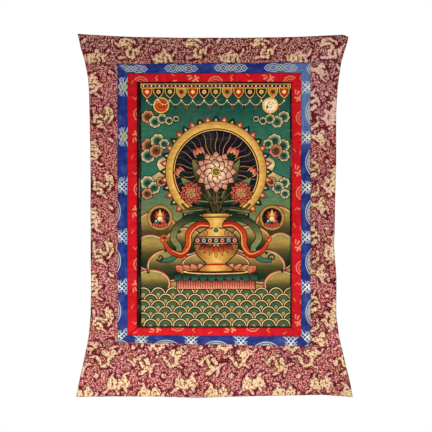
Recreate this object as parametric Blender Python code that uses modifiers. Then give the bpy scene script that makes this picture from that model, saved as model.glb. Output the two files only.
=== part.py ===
"""Thangka scroll painting: a painted canvas in three rounds of sewn brocade, hung by its top edge.

Frame: +Z is up, +X is to the right seen from the front, the painted front faces -Y, and the
origin is in the cloth at the middle of the top edge. All sizes are in metres.

The canvas is framed by four red strips and four blue strips with mitred corners, and then by
four maroon panels. The top and bottom maroon panels run the full width, and the two side
panels lie between them. Every piece is a grid laid onto one shared hanging shape, so that the
pieces meet along their seams, and Solidify gives each its thickness towards the back.
"""

import math
from collections import namedtuple

import bpy
import numpy as np

# Cloth
CLOTH = 0.0012  # thickness of the canvas and of the brocade
HEM_CLOTH = 0.0022  # thickness where the maroon brocade is turned under
HEM_WIDTH = 0.010
HEM_STEP = 0.0015  # width of the slope from the hem down to the single cloth
SEAM_GAP = 0.0003  # between neighbouring pieces
MITRE_PULL = 0.7 * SEAM_GAP  # along a strip, so that two mitred ends are one seam gap apart

# Grid cells. Pieces that meet share the stations along their seam.
ACROSS = 20  # cells across the canvas
DOWN = 34  # cells down the canvas
STRIP_CELLS = 2  # cells across a strip
SIDE_CELLS = 3  # cells across a maroon side, between its hem and its seam
TOP_CELLS = 2  # cells down the top panel, between its hem and its seam
BOTTOM_CELLS = 6  # cells up the bottom panel, between its hem and its seam

# A ring is the line of one round seam: the places of its four edges, how much higher the right
# end of its top and of its bottom edge lies than the left end, and how far its edges waver.
Ring = namedtuple("Ring", "left right top bottom top_rise bottom_rise waver")
CANVAS_SEAM = Ring(-0.1524, 0.1576, -0.0882, -0.5802, 0.0000, 0.0000, 0.0002)
RED_SEAM = Ring(-0.1710, 0.1764, -0.0708, -0.5968, 0.0020, -0.0022, 0.0004)
BLUE_SEAM = Ring(-0.1910, 0.1952, -0.0508, -0.6140, 0.0036, -0.0085, 0.0008)
WAVER_PITCH = 0.110

# The outer outline, from the top down: how far the cloth reaches to each side at a height
Reach = namedtuple("Reach", "height left right")
OUTLINE = (
    Reach(0.0090, -0.2714, 0.2730),
    Reach(-0.0100, -0.2672, 0.2688),
    Reach(-0.0220, -0.2646, 0.2648),
    Reach(-0.0460, -0.2570, 0.2578),
    Reach(-0.0800, -0.2504, 0.2524),
    Reach(-0.1040, -0.2484, 0.2494),
    Reach(-0.1500, -0.2474, 0.2468),
    Reach(-0.2400, -0.2456, 0.2468),
    Reach(-0.3200, -0.2454, 0.2450),
    Reach(-0.4160, -0.2452, 0.2428),
    Reach(-0.4760, -0.2446, 0.2470),
    Reach(-0.5540, -0.2450, 0.2474),
    Reach(-0.5960, -0.2488, 0.2524),
    Reach(-0.6440, -0.2584, 0.2636),
    Reach(-0.6900, -0.2682, 0.2744),
    Reach(-0.7210, -0.2740, 0.2796),
)
# The bottom edge, from the left: how low it hangs at each place
Hang = namedtuple("Hang", "across height")
BOTTOM_EDGE = (
    Hang(-0.274, -0.7184),
    Hang(-0.200, -0.7176),
    Hang(-0.110, -0.7182),
    Hang(-0.030, -0.7206),
    Hang(0.060, -0.7178),
    Hang(0.150, -0.7160),
    Hang(0.220, -0.7144),
    Hang(0.280, -0.7184),
)
# The top edge sags between its two corners, and the right corner is folded blunt
LEFT_CORNER_RISE = 0.0085
RIGHT_CORNER_RISE = 0.0072
SAG_POWER = 2.6
HALF_TOP = 0.270
BLUNT_START = 0.2610
BLUNT_SLOPE = 0.50

# The hanging shape, as how far the cloth stands forward
ROLL_PITCH = 0.098  # ripples kept from being rolled up
ROLL_DEPTH = 0.0012
ROLL_LEAN = 1.6  # radians of a ripple from the middle to the side
SWAG_DEPTH = 0.0042  # belly between the two hung corners
SWAG_REACH = 0.130
SWAG_FOLDS = 2.5  # soft upright folds from the middle to the side
SWAG_FOLD_DEPTH = 0.0013
FLUTTER_PITCH = 0.118  # waves down the long side edges
FLUTTER_DEPTH = 0.0020
FLUTTER_REACH = 0.050
FLUTTER_PHASES = (0.4, 2.3)  # of the left and of the right edge
CURL_START = -0.600  # below this the cloth curls forward
CURL_LENGTH = 0.120
CURL_DEPTH = 0.0030
CORNER_CURL_DEPTH = 0.0050
HALF_WIDTH = 0.275

Finish = namedtuple("Finish", "red green blue roughness")
FINISHES = {
    "painted_canvas": Finish(0.22, 0.16, 0.08, 0.75),
    "red_brocade": Finish(0.60, 0.02, 0.03, 0.50),
    "blue_brocade": Finish(0.05, 0.09, 0.33, 0.50),
    "maroon_brocade": Finish(0.28, 0.08, 0.07, 0.55),
}
COLLECTION = "thangka"


def lerp(a, b, share):
    """The value that lies a share of the way from a to b."""
    return a + (b - a) * share


def outline(side, height):
    """The x of the cloth's "left" or "right" outer edge at a height."""
    rows = OUTLINE[::-1]
    return float(np.interp(height, [row.height for row in rows], [getattr(row, side) for row in rows]))


def bottom_edge(x):
    """The height of the bottom edge at x."""
    return float(np.interp(x, [row.across for row in BOTTOM_EDGE], [row.height for row in BOTTOM_EDGE]))


def top_edge(x):
    """The height of the top edge at x."""
    rise = LEFT_CORNER_RISE if x < 0 else RIGHT_CORNER_RISE
    return rise * (abs(x) / HALF_TOP) ** SAG_POWER - BLUNT_SLOPE * max(0.0, x - BLUNT_START)


def forward(x, z):
    """How far the hanging cloth stands forward of the plane that it hangs in."""
    roll = ROLL_DEPTH * math.sin(math.tau * z / ROLL_PITCH + ROLL_LEAN * x / HALF_WIDTH)
    near_top = math.exp(min(0.0, z) / SWAG_REACH)
    swag = SWAG_DEPTH * near_top * (1 - (x / HALF_WIDTH) ** 2)
    swag += SWAG_FOLD_DEPTH * near_top * math.cos(math.tau * SWAG_FOLDS * x / HALF_WIDTH)
    flutter = 0.0
    insides = (x - outline("left", z), outline("right", z) - x)
    for inside, phase in zip(insides, FLUTTER_PHASES):
        wave = FLUTTER_DEPTH * math.sin(math.tau * z / FLUTTER_PITCH + phase)
        flutter += wave * math.exp(-inside / FLUTTER_REACH)
    below = max(0.0, CURL_START - z) / CURL_LENGTH
    curl = below**2 * (CURL_DEPTH + CORNER_CURL_DEPTH * (x / HALF_WIDTH) ** 4)
    return roll + swag + flutter + curl


def hung(x, z):
    """The point of the cloth's front at x and z."""
    return (x, forward(0.0, 0.0) - forward(x, z) - HEM_CLOTH / 2, z)


def grown(ring, by):
    """The ring with its four edges moved outward."""
    return ring._replace(
        left=ring.left - by, right=ring.right + by, top=ring.top + by, bottom=ring.bottom - by
    )


def faded(share):
    """1 along an edge, and 0 at its ends and past them."""
    return min(1.0, max(0.0, 8 * share * (1 - share)))


def level(ring, end, x):
    """The height of a ring's "top" or "bottom" edge at x, straight on past its corners."""
    share = (x - ring.left) / (ring.right - ring.left)
    rise = ring.top_rise if end == "top" else ring.bottom_rise
    waver = ring.waver * math.sin(math.tau * x / WAVER_PITCH) * faded(share)
    return getattr(ring, end) + rise * (share - 0.5) + waver


def on_ring(ring, edge, share):
    """The point of a ring's edge, a share of the way along it: to the right, or up."""
    if edge in ("top", "bottom"):
        x = lerp(ring.left, ring.right, share)
        return x, level(ring, edge, x)
    x = getattr(ring, edge)
    z = lerp(level(ring, "bottom", x), level(ring, "top", x), share)
    return x + ring.waver * math.sin(math.tau * z / WAVER_PITCH) * faded(share), z


def evenly(start, stop, cells):
    """The values that bound a number of even cells."""
    return [lerp(start, stop, i / cells) for i in range(cells + 1)]


def from_hem(outer, seam, cells):
    """Stations from an outer edge in to a seam: the hem, its slope, and then even cells."""
    inward = 1 if seam > outer else -1
    inner = outer + inward * (HEM_WIDTH + HEM_STEP)
    return [outer, outer + inward * HEM_WIDTH] + evenly(inner, seam, cells)


def material(name):
    """The Principled material of a finish, made when it is first asked for."""
    if name in bpy.data.materials:
        return bpy.data.materials[name]
    finish = FINISHES[name]
    made = bpy.data.materials.new(name)
    made.use_nodes = True
    shader = made.node_tree.nodes["Principled BSDF"]
    shader.inputs["Base Color"].default_value = (finish.red, finish.green, finish.blue, 1.0)
    shader.inputs["Roughness"].default_value = finish.roughness
    shader.inputs["Metallic"].default_value = 0.0
    return made


def cloth_piece(name, finish, columns, rows, place, turned_under=None):
    """Adds a piece of cloth: a grid with its vertices where place(column, row) says, made solid.

    Columns count from the left and rows from the bottom. turned_under(column, row) is true on
    the hem, where the cloth is double.
    """
    bpy.ops.mesh.primitive_grid_add(x_subdivisions=columns, y_subdivisions=rows, size=1.0)
    piece = bpy.context.object
    piece.name = name
    piece.data.name = name
    double = []
    for vertex in piece.data.vertices:
        column = round((vertex.co.x + 0.5) * columns)
        row = round((vertex.co.y + 0.5) * rows)
        vertex.co = hung(*place(column, row))
        if turned_under is not None and turned_under(column, row):
            double.append(vertex.index)
    thicken = piece.modifiers.new("thickness", "SOLIDIFY")
    thicken.offset = -1.0
    thicken.thickness = CLOTH
    if turned_under is not None:
        piece.vertex_groups.new(name="hem").add(double, 1.0, "REPLACE")
        thicken.thickness = HEM_CLOTH
        thicken.vertex_group = "hem"
        thicken.thickness_vertex_group = CLOTH / HEM_CLOTH
    piece.data.materials.append(material(finish))
    piece.data.shade_smooth()
    for owner in piece.users_collection:
        owner.objects.unlink(piece)
    bpy.data.collections[COLLECTION].objects.link(piece)


def painted_canvas():
    """The painted canvas in the middle."""
    ring = grown(CANVAS_SEAM, -SEAM_GAP / 2)

    def place(column, row):
        left = on_ring(ring, "left", row / DOWN)
        right = on_ring(ring, "right", row / DOWN)
        x = lerp(left[0], right[0], column / ACROSS)
        return x, lerp(level(ring, "bottom", x), level(ring, "top", x), row / DOWN)

    cloth_piece("painted_canvas", "painted_canvas", ACROSS, DOWN, place)


def mitred_strip(name, finish, edge, inner, outer):
    """The strip of one round along one edge, between two rings, with both its ends mitred."""
    upright = edge in ("left", "right")
    cells = DOWN if upright else ACROSS
    near, far = grown(inner, SEAM_GAP / 2), grown(outer, -SEAM_GAP / 2)

    def place(column, row):
        along, out = (row / cells, column) if upright else (column / cells, row)
        out = out / STRIP_CELLS if edge in ("top", "right") else 1 - out / STRIP_CELLS
        start, stop = on_ring(near, edge, along), on_ring(far, edge, along)
        x, z = lerp(start[0], stop[0], out), lerp(start[1], stop[1], out)
        pull = MITRE_PULL * (1 - 2 * along)
        return (x, z + pull) if upright else (x + pull, z)

    columns, rows = (STRIP_CELLS, cells) if upright else (cells, STRIP_CELLS)
    cloth_piece(f"{name}_{edge}", finish, columns, rows, place)


def side_panel(edge):
    """The maroon panel on the left or right, between the top and the bottom panel."""
    ring = grown(BLUE_SEAM, SEAM_GAP / 2)
    columns = SIDE_CELLS + 2

    def place(column, row):
        inward = column if edge == "left" else columns - column
        seam_x, z = on_ring(ring, edge, row / DOWN)
        x = from_hem(outline(edge, z), seam_x, SIDE_CELLS)[inward]
        bottom = level(BLUE_SEAM, "bottom", x) + SEAM_GAP / 2
        top = level(BLUE_SEAM, "top", x) - SEAM_GAP / 2
        return x, lerp(bottom, top, row / DOWN)

    def turned_under(column, _row):
        return column <= 1 if edge == "left" else column >= columns - 1

    cloth_piece(f"maroon_panel_{edge}", "maroon_brocade", columns, DOWN, place, turned_under)


def end_panel(end):
    """The maroon panel of the full width at the "top" or "bottom", hemmed on three sides."""
    ring = grown(BLUE_SEAM, SEAM_GAP / 2)
    cells = TOP_CELLS if end == "top" else BOTTOM_CELLS
    free_edge = top_edge if end == "top" else bottom_edge
    columns, rows = ACROSS + 2 * (SIDE_CELLS + 2), cells + 2

    def across(z):
        left = from_hem(outline("left", z), ring.left, SIDE_CELLS)
        right = from_hem(outline("right", z), ring.right, SIDE_CELLS)
        return left + evenly(ring.left, ring.right, ACROSS)[1:-1] + right[::-1]

    def place(column, row):
        inward = rows - row if end == "top" else row
        x = across(getattr(ring, end))[column]
        for _ in range(2):
            z = from_hem(free_edge(x), level(ring, end, x), cells)[inward]
            x = across(z)[column]
        return x, z

    def turned_under(column, row):
        at_side = column <= 1 or column >= columns - 1
        return at_side or (row >= rows - 1 if end == "top" else row <= 1)

    cloth_piece(f"maroon_panel_{end}", "maroon_brocade", columns, rows, place, turned_under)


def build():
    """Clears the scene and makes every piece."""
    for old in list(bpy.data.objects):
        bpy.data.objects.remove(old)
    bpy.context.scene.collection.children.link(bpy.data.collections.new(COLLECTION))
    painted_canvas()
    for edge in ("top", "bottom", "left", "right"):
        mitred_strip("red_strip", "red_brocade", edge, CANVAS_SEAM, RED_SEAM)
        mitred_strip("blue_strip", "blue_brocade", edge, RED_SEAM, BLUE_SEAM)
    for edge in ("left", "right"):
        side_panel(edge)
    for end in ("top", "bottom"):
        end_panel(end)


build()
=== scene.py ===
"""Looks of a thangka: a painted canvas in three rounds of brocade, hung by its top edge.

Frame: metres, +Z up, +X to the right seen from the front, the painted front faces -Y. Every
sheet of cloth here hangs on the same shape as the solids that it replaces. Patterns follow
the cloth through a UV map in metres named "cloth", and the painting is cut into the canvas
as flat areas of colour.
"""

import logging
import math
from abc import ABC, abstractmethod
from collections.abc import Sequence
from dataclasses import dataclass, field, replace
from enum import Enum

import bpy
import numpy as np
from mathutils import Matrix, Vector, geometry


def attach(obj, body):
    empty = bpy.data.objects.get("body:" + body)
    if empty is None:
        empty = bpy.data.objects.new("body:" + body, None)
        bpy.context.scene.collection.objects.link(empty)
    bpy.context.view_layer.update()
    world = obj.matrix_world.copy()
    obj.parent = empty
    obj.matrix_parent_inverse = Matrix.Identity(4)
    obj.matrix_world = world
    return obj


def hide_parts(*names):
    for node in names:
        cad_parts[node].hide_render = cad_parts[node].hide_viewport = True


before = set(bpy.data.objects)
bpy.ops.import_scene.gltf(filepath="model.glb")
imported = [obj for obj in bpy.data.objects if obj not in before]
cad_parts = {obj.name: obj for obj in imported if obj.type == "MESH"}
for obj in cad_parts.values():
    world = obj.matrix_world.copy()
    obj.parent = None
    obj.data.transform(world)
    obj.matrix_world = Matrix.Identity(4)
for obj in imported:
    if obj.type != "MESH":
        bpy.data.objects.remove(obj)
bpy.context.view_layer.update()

LOG = logging.getLogger("thangka")
MM = 0.001
CLOTH_MAP = "cloth"


# Colours


@dataclass(frozen=True)
class Dye:
    """A colour as it looks, red, green and blue from 0 to 255."""

    red: float
    green: float
    blue: float

    @property
    def linear(self) -> tuple[float, float, float, float]:
        """The colour in the linear values that shaders use, with an alpha of 1."""
        channels = []
        for shown in (self.red, self.green, self.blue):
            share = shown / 255
            channels.append(share / 12.92 if share <= 0.04045 else ((share + 0.055) / 1.055) ** 2.4)
        return (*channels, 1.0)


# The hanging shape


class Edge(Enum):
    """A side of a round or of a piece."""

    TOP = "top"
    BOTTOM = "bottom"
    LEFT = "left"
    RIGHT = "right"

    @property
    def upright(self) -> bool:
        """True for the left and right sides."""
        return self in (Edge.LEFT, Edge.RIGHT)


def lerp(start: np.ndarray | float, stop: np.ndarray | float, share: np.ndarray | float) -> np.ndarray:
    """The value that lies a share of the way from start to stop."""
    return start + (stop - start) * share


def smooth(share: np.ndarray | float) -> np.ndarray:
    """A share from 0 to 1, eased at both ends."""
    held = np.clip(share, 0.0, 1.0)
    return held * held * (3.0 - 2.0 * held)


@dataclass(frozen=True)
class Ring:
    """The line of one round seam, in metres: its edges, how they lean and how they waver."""

    left: float
    right: float
    top: float
    bottom: float
    top_rise: float = 0.0
    bottom_rise: float = 0.0
    waver: float = 0.0
    waver_pitch: float = 0.110

    def grown(self, by: float) -> "Ring":
        """The ring with its four edges moved outward by a distance."""
        return replace(
            self, left=self.left - by, right=self.right + by, top=self.top + by, bottom=self.bottom - by
        )

    def _wave(self, along: np.ndarray | float, share: np.ndarray | float) -> np.ndarray:
        """How far an edge wavers at a place along it, and not at all at its ends and past them."""
        faded = np.clip(8 * share * (1 - share), 0.0, 1.0)
        return self.waver * np.sin(math.tau * along / self.waver_pitch) * faded

    def level(self, end: Edge, x: np.ndarray | float) -> np.ndarray:
        """The height of the top or bottom edge at x, straight on past the corners."""
        share = (x - self.left) / (self.right - self.left)
        place, rise = (self.top, self.top_rise) if end is Edge.TOP else (self.bottom, self.bottom_rise)
        return place + rise * (share - 0.5) + self._wave(x, share)

    def point(self, edge: Edge, share: np.ndarray) -> tuple[np.ndarray, np.ndarray]:
        """The x and z of an edge, a share of the way along it.

        Args:
            edge: Which edge.
            share: From 0 to 1, rightward on the top and bottom, upward on the sides.

        Returns:
            The x and the z.
        """
        if not edge.upright:
            x = lerp(self.left, self.right, share)
            return x, self.level(edge, x)
        x = self.left if edge is Edge.LEFT else self.right
        z = lerp(self.level(Edge.BOTTOM, x), self.level(Edge.TOP, x), share)
        return x + self._wave(z, share), z

    def nearness(self, x: np.ndarray, z: np.ndarray) -> tuple[np.ndarray, np.ndarray]:
        """How far points are from the seam, and where along it they are.

        Args:
            x: The points' x.
            z: The points' z.

        Returns:
            The distance, and the place along the nearest edge.
        """
        aside = np.maximum(self.left - x, x - self.right)
        above = np.maximum(self.level(Edge.BOTTOM, x) - z, z - self.level(Edge.TOP, x))
        outermost = np.maximum(aside, above)
        outside = np.hypot(np.maximum(aside, 0), np.maximum(above, 0))
        return np.where(outermost < 0, -outermost, outside), np.where(aside > above, z, x)


CANVAS_SEAM = Ring(-0.1524, 0.1576, -0.0882, -0.5802, waver=0.0002)
RED_SEAM = Ring(-0.1710, 0.1764, -0.0708, -0.5968, 0.0020, -0.0022, 0.0004)
BLUE_SEAM = Ring(-0.1910, 0.1952, -0.0508, -0.6140, 0.0036, -0.0085, 0.0008)


@dataclass(frozen=True)
class Hanging:
    """The shape in which the whole cloth hangs, in metres."""

    # The outer outline from the top down: height, reach to the left, reach to the right
    outline_rows: tuple[tuple[float, float, float], ...] = (
        (0.0090, -0.2714, 0.2730),
        (-0.0100, -0.2672, 0.2688),
        (-0.0220, -0.2646, 0.2648),
        (-0.0460, -0.2570, 0.2578),
        (-0.0800, -0.2504, 0.2524),
        (-0.1040, -0.2484, 0.2494),
        (-0.1500, -0.2474, 0.2468),
        (-0.2400, -0.2456, 0.2468),
        (-0.3200, -0.2454, 0.2450),
        (-0.4160, -0.2452, 0.2428),
        (-0.4760, -0.2446, 0.2470),
        (-0.5540, -0.2450, 0.2474),
        (-0.5960, -0.2488, 0.2524),
        (-0.6440, -0.2584, 0.2636),
        (-0.6900, -0.2682, 0.2744),
        (-0.7210, -0.2740, 0.2796),
    )
    # The bottom edge from the left: place across, height
    bottom_rows: tuple[tuple[float, float], ...] = (
        (-0.274, -0.7184),
        (-0.200, -0.7176),
        (-0.110, -0.7182),
        (-0.030, -0.7206),
        (0.060, -0.7178),
        (0.150, -0.7160),
        (0.220, -0.7144),
        (0.280, -0.7184),
    )
    left_corner_rise: float = 0.0085
    right_corner_rise: float = 0.0072
    sag_power: float = 2.6
    half_top: float = 0.270
    blunt_start: float = 0.2610
    blunt_slope: float = 0.50
    roll_pitch: float = 0.098
    roll_depth: float = 0.0012
    roll_lean: float = 1.6
    swag_depth: float = 0.0042
    swag_reach: float = 0.130
    swag_folds: float = 2.5
    swag_fold_depth: float = 0.0013
    flutter_pitch: float = 0.118
    flutter_depth: float = 0.0020
    flutter_reach: float = 0.050
    flutter_phases: tuple[float, float] = (0.4, 2.3)
    curl_start: float = -0.600
    curl_length: float = 0.120
    curl_depth: float = 0.0030
    corner_curl_depth: float = 0.0050
    half_width: float = 0.275
    hem_cloth: float = 0.0022
    # Small relief that the solids leave out: for each seam, where its puckers start
    pucker_depth: float = 0.00042
    pucker_pitches: tuple[float, float] = (0.0165, 0.0101)
    pucker_reach: float = 0.011
    pucker_phases: tuple[tuple[Ring, float], ...] = ((CANVAS_SEAM, 0.3), (RED_SEAM, 1.9), (BLUE_SEAM, 4.1))
    # Soft creases: place across or height, width, depth, and the stretch along which each runs
    upright_creases: tuple[tuple[float, float, float, float, float], ...] = (
        (-0.020, 0.004, 0.0008, -0.045, -0.088),
        (0.086, 0.007, -0.0010, 0.000, -0.085),
        (0.171, 0.005, 0.0009, -0.060, -0.200),
        (-0.118, 0.006, 0.0007, 0.000, -0.060),
        (0.022, 0.008, -0.0008, -0.600, -0.716),
        (-0.171, 0.006, 0.0008, -0.610, -0.716),
    )
    level_creases: tuple[tuple[float, float, float, float, float], ...] = (
        (-0.152, 0.0035, 0.0007, -0.250, 0.250),
        (-0.243, 0.0028, -0.0006, -0.250, 0.250),
        (-0.322, 0.0040, 0.0007, -0.250, 0.130),
        (-0.398, 0.0030, -0.0006, -0.120, 0.250),
        (-0.471, 0.0034, 0.0007, -0.250, 0.250),
        (-0.552, 0.0042, -0.0007, -0.250, 0.250),
        (-0.661, 0.0048, 0.0009, -0.270, 0.100),
    )
    crease_fade: float = 0.018
    crease_drift: float = 0.0022

    def outline(self, edge: Edge, z: np.ndarray | float) -> np.ndarray:
        """The x of the outer left or right edge at a height."""
        rows = np.array(self.outline_rows[::-1])
        return np.interp(z, rows[:, 0], rows[:, 1 if edge is Edge.LEFT else 2])

    def bottom_edge(self, x: np.ndarray | float) -> np.ndarray:
        """The height of the bottom edge at x."""
        rows = np.array(self.bottom_rows)
        return np.interp(x, rows[:, 0], rows[:, 1])

    def top_edge(self, x: np.ndarray | float) -> np.ndarray:
        """The height of the top edge at x, which sags between its corners."""
        rise = np.where(np.less(x, 0), self.left_corner_rise, self.right_corner_rise)
        sagging = rise * (np.abs(x) / self.half_top) ** self.sag_power
        return sagging - self.blunt_slope * np.maximum(0.0, x - self.blunt_start)

    def forward(self, x: np.ndarray | float, z: np.ndarray | float) -> np.ndarray:
        """How far the main folds stand forward of the plane in which the cloth hangs."""
        across = x / self.half_width
        roll = self.roll_depth * np.sin(math.tau * z / self.roll_pitch + self.roll_lean * across)
        near_top = np.exp(np.minimum(0.0, z) / self.swag_reach)
        swag = self.swag_depth * near_top * (1 - across**2)
        swag = swag + self.swag_fold_depth * near_top * np.cos(math.tau * self.swag_folds * across)
        flutter = 0.0
        insides = (x - self.outline(Edge.LEFT, z), self.outline(Edge.RIGHT, z) - x)
        for inside, phase in zip(insides, self.flutter_phases):
            wave = self.flutter_depth * np.sin(math.tau * z / self.flutter_pitch + phase)
            flutter = flutter + wave * np.exp(-inside / self.flutter_reach)
        below = np.maximum(0.0, self.curl_start - z) / self.curl_length
        curl = below**2 * (self.curl_depth + self.corner_curl_depth * across**4)
        return roll + swag + flutter + curl

    def relief(self, x: np.ndarray, z: np.ndarray) -> np.ndarray:
        """How far the puckers along the seams and the creases stand forward."""
        height = np.zeros_like(x)
        for ring, phase in self.pucker_phases:
            distance, along = ring.nearness(x, z)
            drawn = sum(
                np.sin(math.tau * along / pitch + phase * (1 + 2 * rank)) / (1 + rank)
                for rank, pitch in enumerate(self.pucker_pitches)
            )
            height += self.pucker_depth * drawn * np.exp(-distance / self.pucker_reach)
        for rows, across, along in ((self.upright_creases, x, z), (self.level_creases, z, x)):
            for place, width, depth, start, stop in rows:
                low, high = min(start, stop), max(start, stop)
                held = smooth((along - low) / self.crease_fade) * smooth((high - along) / self.crease_fade)
                drift = self.crease_drift * np.sin(along * 31.0 + place * 90.0)
                height += depth * np.exp(-(((across - place - drift) / width) ** 2)) * held
        return height

    def front(self, x: np.ndarray, z: np.ndarray) -> np.ndarray:
        """The y of the cloth's front at x and z."""
        level = self.forward(0.0, 0.0) - self.hem_cloth / 2
        return level - self.forward(x, z) - self.relief(x, z)


HANGING = Hanging()


# Drawing with shader nodes


class Wire:
    """One output of a node. Arithmetic on it adds nodes to its graph."""

    def __init__(self, graph: "Graph", socket: bpy.types.NodeSocket) -> None:
        """Holds the graph and the socket."""
        self.graph = graph
        self.socket = socket

    def math(self, operation: str, *others: "Wire | float", clamp: bool = False) -> "Wire":
        """A Math node with this as its first value."""
        return self.graph.add("ShaderNodeMath", self, *others, operation=operation, use_clamp=clamp)

    def vector(self, operation: str, *others: "Wire | tuple", output: int = 0) -> "Wire":
        """A Vector Math node with this as its first vector."""
        return self.graph.add("ShaderNodeVectorMath", self, *others, operation=operation, output=output)

    def __add__(self, other: "Wire | float") -> "Wire":
        """The sum."""
        return self.math("ADD", other)

    def __sub__(self, other: "Wire | float") -> "Wire":
        """The difference."""
        return self.math("SUBTRACT", other)

    def __rsub__(self, other: float) -> "Wire":
        """A number less the value."""
        return self.scaled(-1.0, other)

    def __mul__(self, other: "Wire | float") -> "Wire":
        """The product."""
        return self.math("MULTIPLY", other)

    def __truediv__(self, other: "Wire | float") -> "Wire":
        """The quotient."""
        return self.math("DIVIDE", other)

    def __abs__(self) -> "Wire":
        """The value without its sign."""
        return self.math("ABSOLUTE")

    def scaled(self, by: "Wire | float", plus: "Wire | float" = 0.0) -> "Wire":
        """The value times a number, plus another."""
        return self.math("MULTIPLY_ADD", by, plus)

    def ramp(self, by: float, plus: float = 0.0) -> "Wire":
        """The value times a number, plus another, held between 0 and 1."""
        return self.math("MULTIPLY_ADD", by, plus, clamp=True)

    def least(self, other: "Wire | float") -> "Wire":
        """The smaller of two values."""
        return self.math("MINIMUM", other)

    def most(self, other: "Wire | float") -> "Wire":
        """The larger of two values."""
        return self.math("MAXIMUM", other)

    def above(self, level: float) -> "Wire":
        """1 where the value is above a level, and 0 elsewhere."""
        return self.math("GREATER_THAN", level)

    def floor(self) -> "Wire":
        """The whole number below."""
        return self.math("FLOOR")

    def around(self, period: float) -> "Wire":
        """The value brought within half a period of 0."""
        return (self + period / 2).math("FLOORED_MODULO", period) - period / 2

    def mirrored(self, half_period: float) -> "Wire":
        """The distance from the nearest whole number of periods."""
        return self.math("PINGPONG", half_period)

    def inside(self, soft: float = 0.5) -> "Wire":
        """1 where a signed distance is below 0 and 0 where it is above, with a soft edge."""
        return self.ramp(-1.0 / soft, 0.5)


class Graph:
    """Adds nodes to a node tree, each after those that it reads."""

    def __init__(self, tree: bpy.types.NodeTree) -> None:
        """Holds the tree that the nodes go to."""
        self.tree = tree

    def feed(self, socket: bpy.types.NodeSocket, value: Wire | Dye | tuple | float) -> None:
        """Gives an input a wire, a colour or another value."""
        if isinstance(value, Wire):
            self.tree.links.new(value.socket, socket)
        else:
            socket.default_value = value.linear if isinstance(value, Dye) else value

    def add(
        self, kind: str, *inputs: Wire | Dye | tuple | float | None, output: int | str = 0,
        named: dict | None = None, **settings: object,
    ) -> Wire:
        """Adds a node.

        Args:
            kind: The node's type.
            inputs: Its inputs in order, each a wire, a value or None to leave it be.
            output: Which output to return.
            named: Further inputs by name.
            settings: The node's own settings.

        Returns:
            The output asked for.
        """
        node = self.tree.nodes.new(kind)
        for name, value in settings.items():
            setattr(node, name, value)
        for slot, value in [*enumerate(inputs), *(named or {}).items()]:
            if value is not None:
                self.feed(node.inputs[slot], value)
        return Wire(self, node.outputs[output])

    def split(self, vector: Wire) -> tuple[Wire, Wire, Wire]:
        """The three parts of a vector."""
        x = self.add("ShaderNodeSeparateXYZ", vector)
        _, y, z = x.socket.node.outputs
        return x, Wire(self, y), Wire(self, z)

    def join(self, x: Wire | float, y: Wire | float, z: Wire | float = 0.0) -> Wire:
        """A vector of three parts."""
        return self.add("ShaderNodeCombineXYZ", x, y, z)

    def mix(self, share: Wire | float, under: Wire | Dye, over: Wire | Dye, way: str = "MIX") -> Wire:
        """One colour laid over another by a share."""
        return self.add(
            "ShaderNodeMix", share, *[None] * 5, under, over,
            output=2, data_type="RGBA", blend_type=way,
        )

    def shade(self, colour: Wire, tone: Wire) -> Wire:
        """A colour times a tone."""
        return self.mix(1.0, colour, self.join(tone, tone, tone), "MULTIPLY")

    def blend(self, share: Wire | float, under: Wire | float, over: Wire | float) -> Wire:
        """One number laid over another by a share."""
        return self.add("ShaderNodeMix", share, None, under, over, data_type="FLOAT")

    def noise(self, place: Wire, scale: float, detail: float = 2.0, flat: bool = True) -> Wire:
        """Noise about a value of 0.5."""
        return self.add(
            "ShaderNodeTexNoise", noise_dimensions="2D" if flat else "3D",
            named={"Vector": place, "Scale": scale, "Detail": detail},
        )

    def cells(self, place: Wire, randomness: float, output: str, feature: str = "F1") -> Wire:
        """Flat cells of about 1 across."""
        return self.add(
            "ShaderNodeTexVoronoi", voronoi_dimensions="2D", feature=feature, output=output,
            named={"Vector": place, "Scale": 1.0, "Randomness": randomness},
        )

    def carried(self, name: str, output: str = "Fac") -> Wire:
        """A value or colour that the mesh carries."""
        return self.add("ShaderNodeAttribute", attribute_name=name, output=output)

    def length(self, x: Wire, y: Wire) -> Wire:
        """The length of a flat vector."""
        return self.join(x, y).vector("LENGTH", output=1)


# A point of a woven line, in millimetres: x, y and the line's radius there
Joint = tuple[float, float, float]


def stroke(graph: Graph, place: Wire, start: Joint, stop: Joint) -> Wire:
    """The signed distance from a tapering stroke between two joints, below 0 inside it."""
    x, y, radius = start
    to_x, to_y, to_radius = stop
    run = Vector((to_x - x, to_y - y, 0.0))
    from_start = place.vector("SUBTRACT", (x, y, 0.0))
    share = from_start.vector("DOT_PRODUCT", tuple(run / run.length_squared), output=1)
    held = graph.add("ShaderNodeClamp", share)
    reached = graph.add("ShaderNodeVectorMath", tuple(run), named={"Scale": held}, operation="SCALE")
    away = from_start.vector("DISTANCE", reached, output=1)
    return held.scaled(radius - to_radius, away) - radius


def strokes(graph: Graph, place: Wire, lines: Sequence[Sequence[Joint]], merge: float = 0.0) -> Wire:
    """The signed distance from a group of woven lines.

    Args:
        graph: Where the nodes go.
        place: The point, in millimetres.
        lines: The joints of each line.
        merge: How softly the strokes run into each other, in millimetres.

    Returns:
        The distance, below 0 inside any line.
    """
    nearest = None
    for line in lines:
        for start, stop in zip(line, line[1:]):
            found = stroke(graph, place, start, stop)
            if nearest is None:
                nearest = found
            elif merge:
                nearest = nearest.math("SMOOTH_MIN", found, merge)
            else:
                nearest = nearest.least(found)
    return nearest


# Effects that several finishes share


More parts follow.
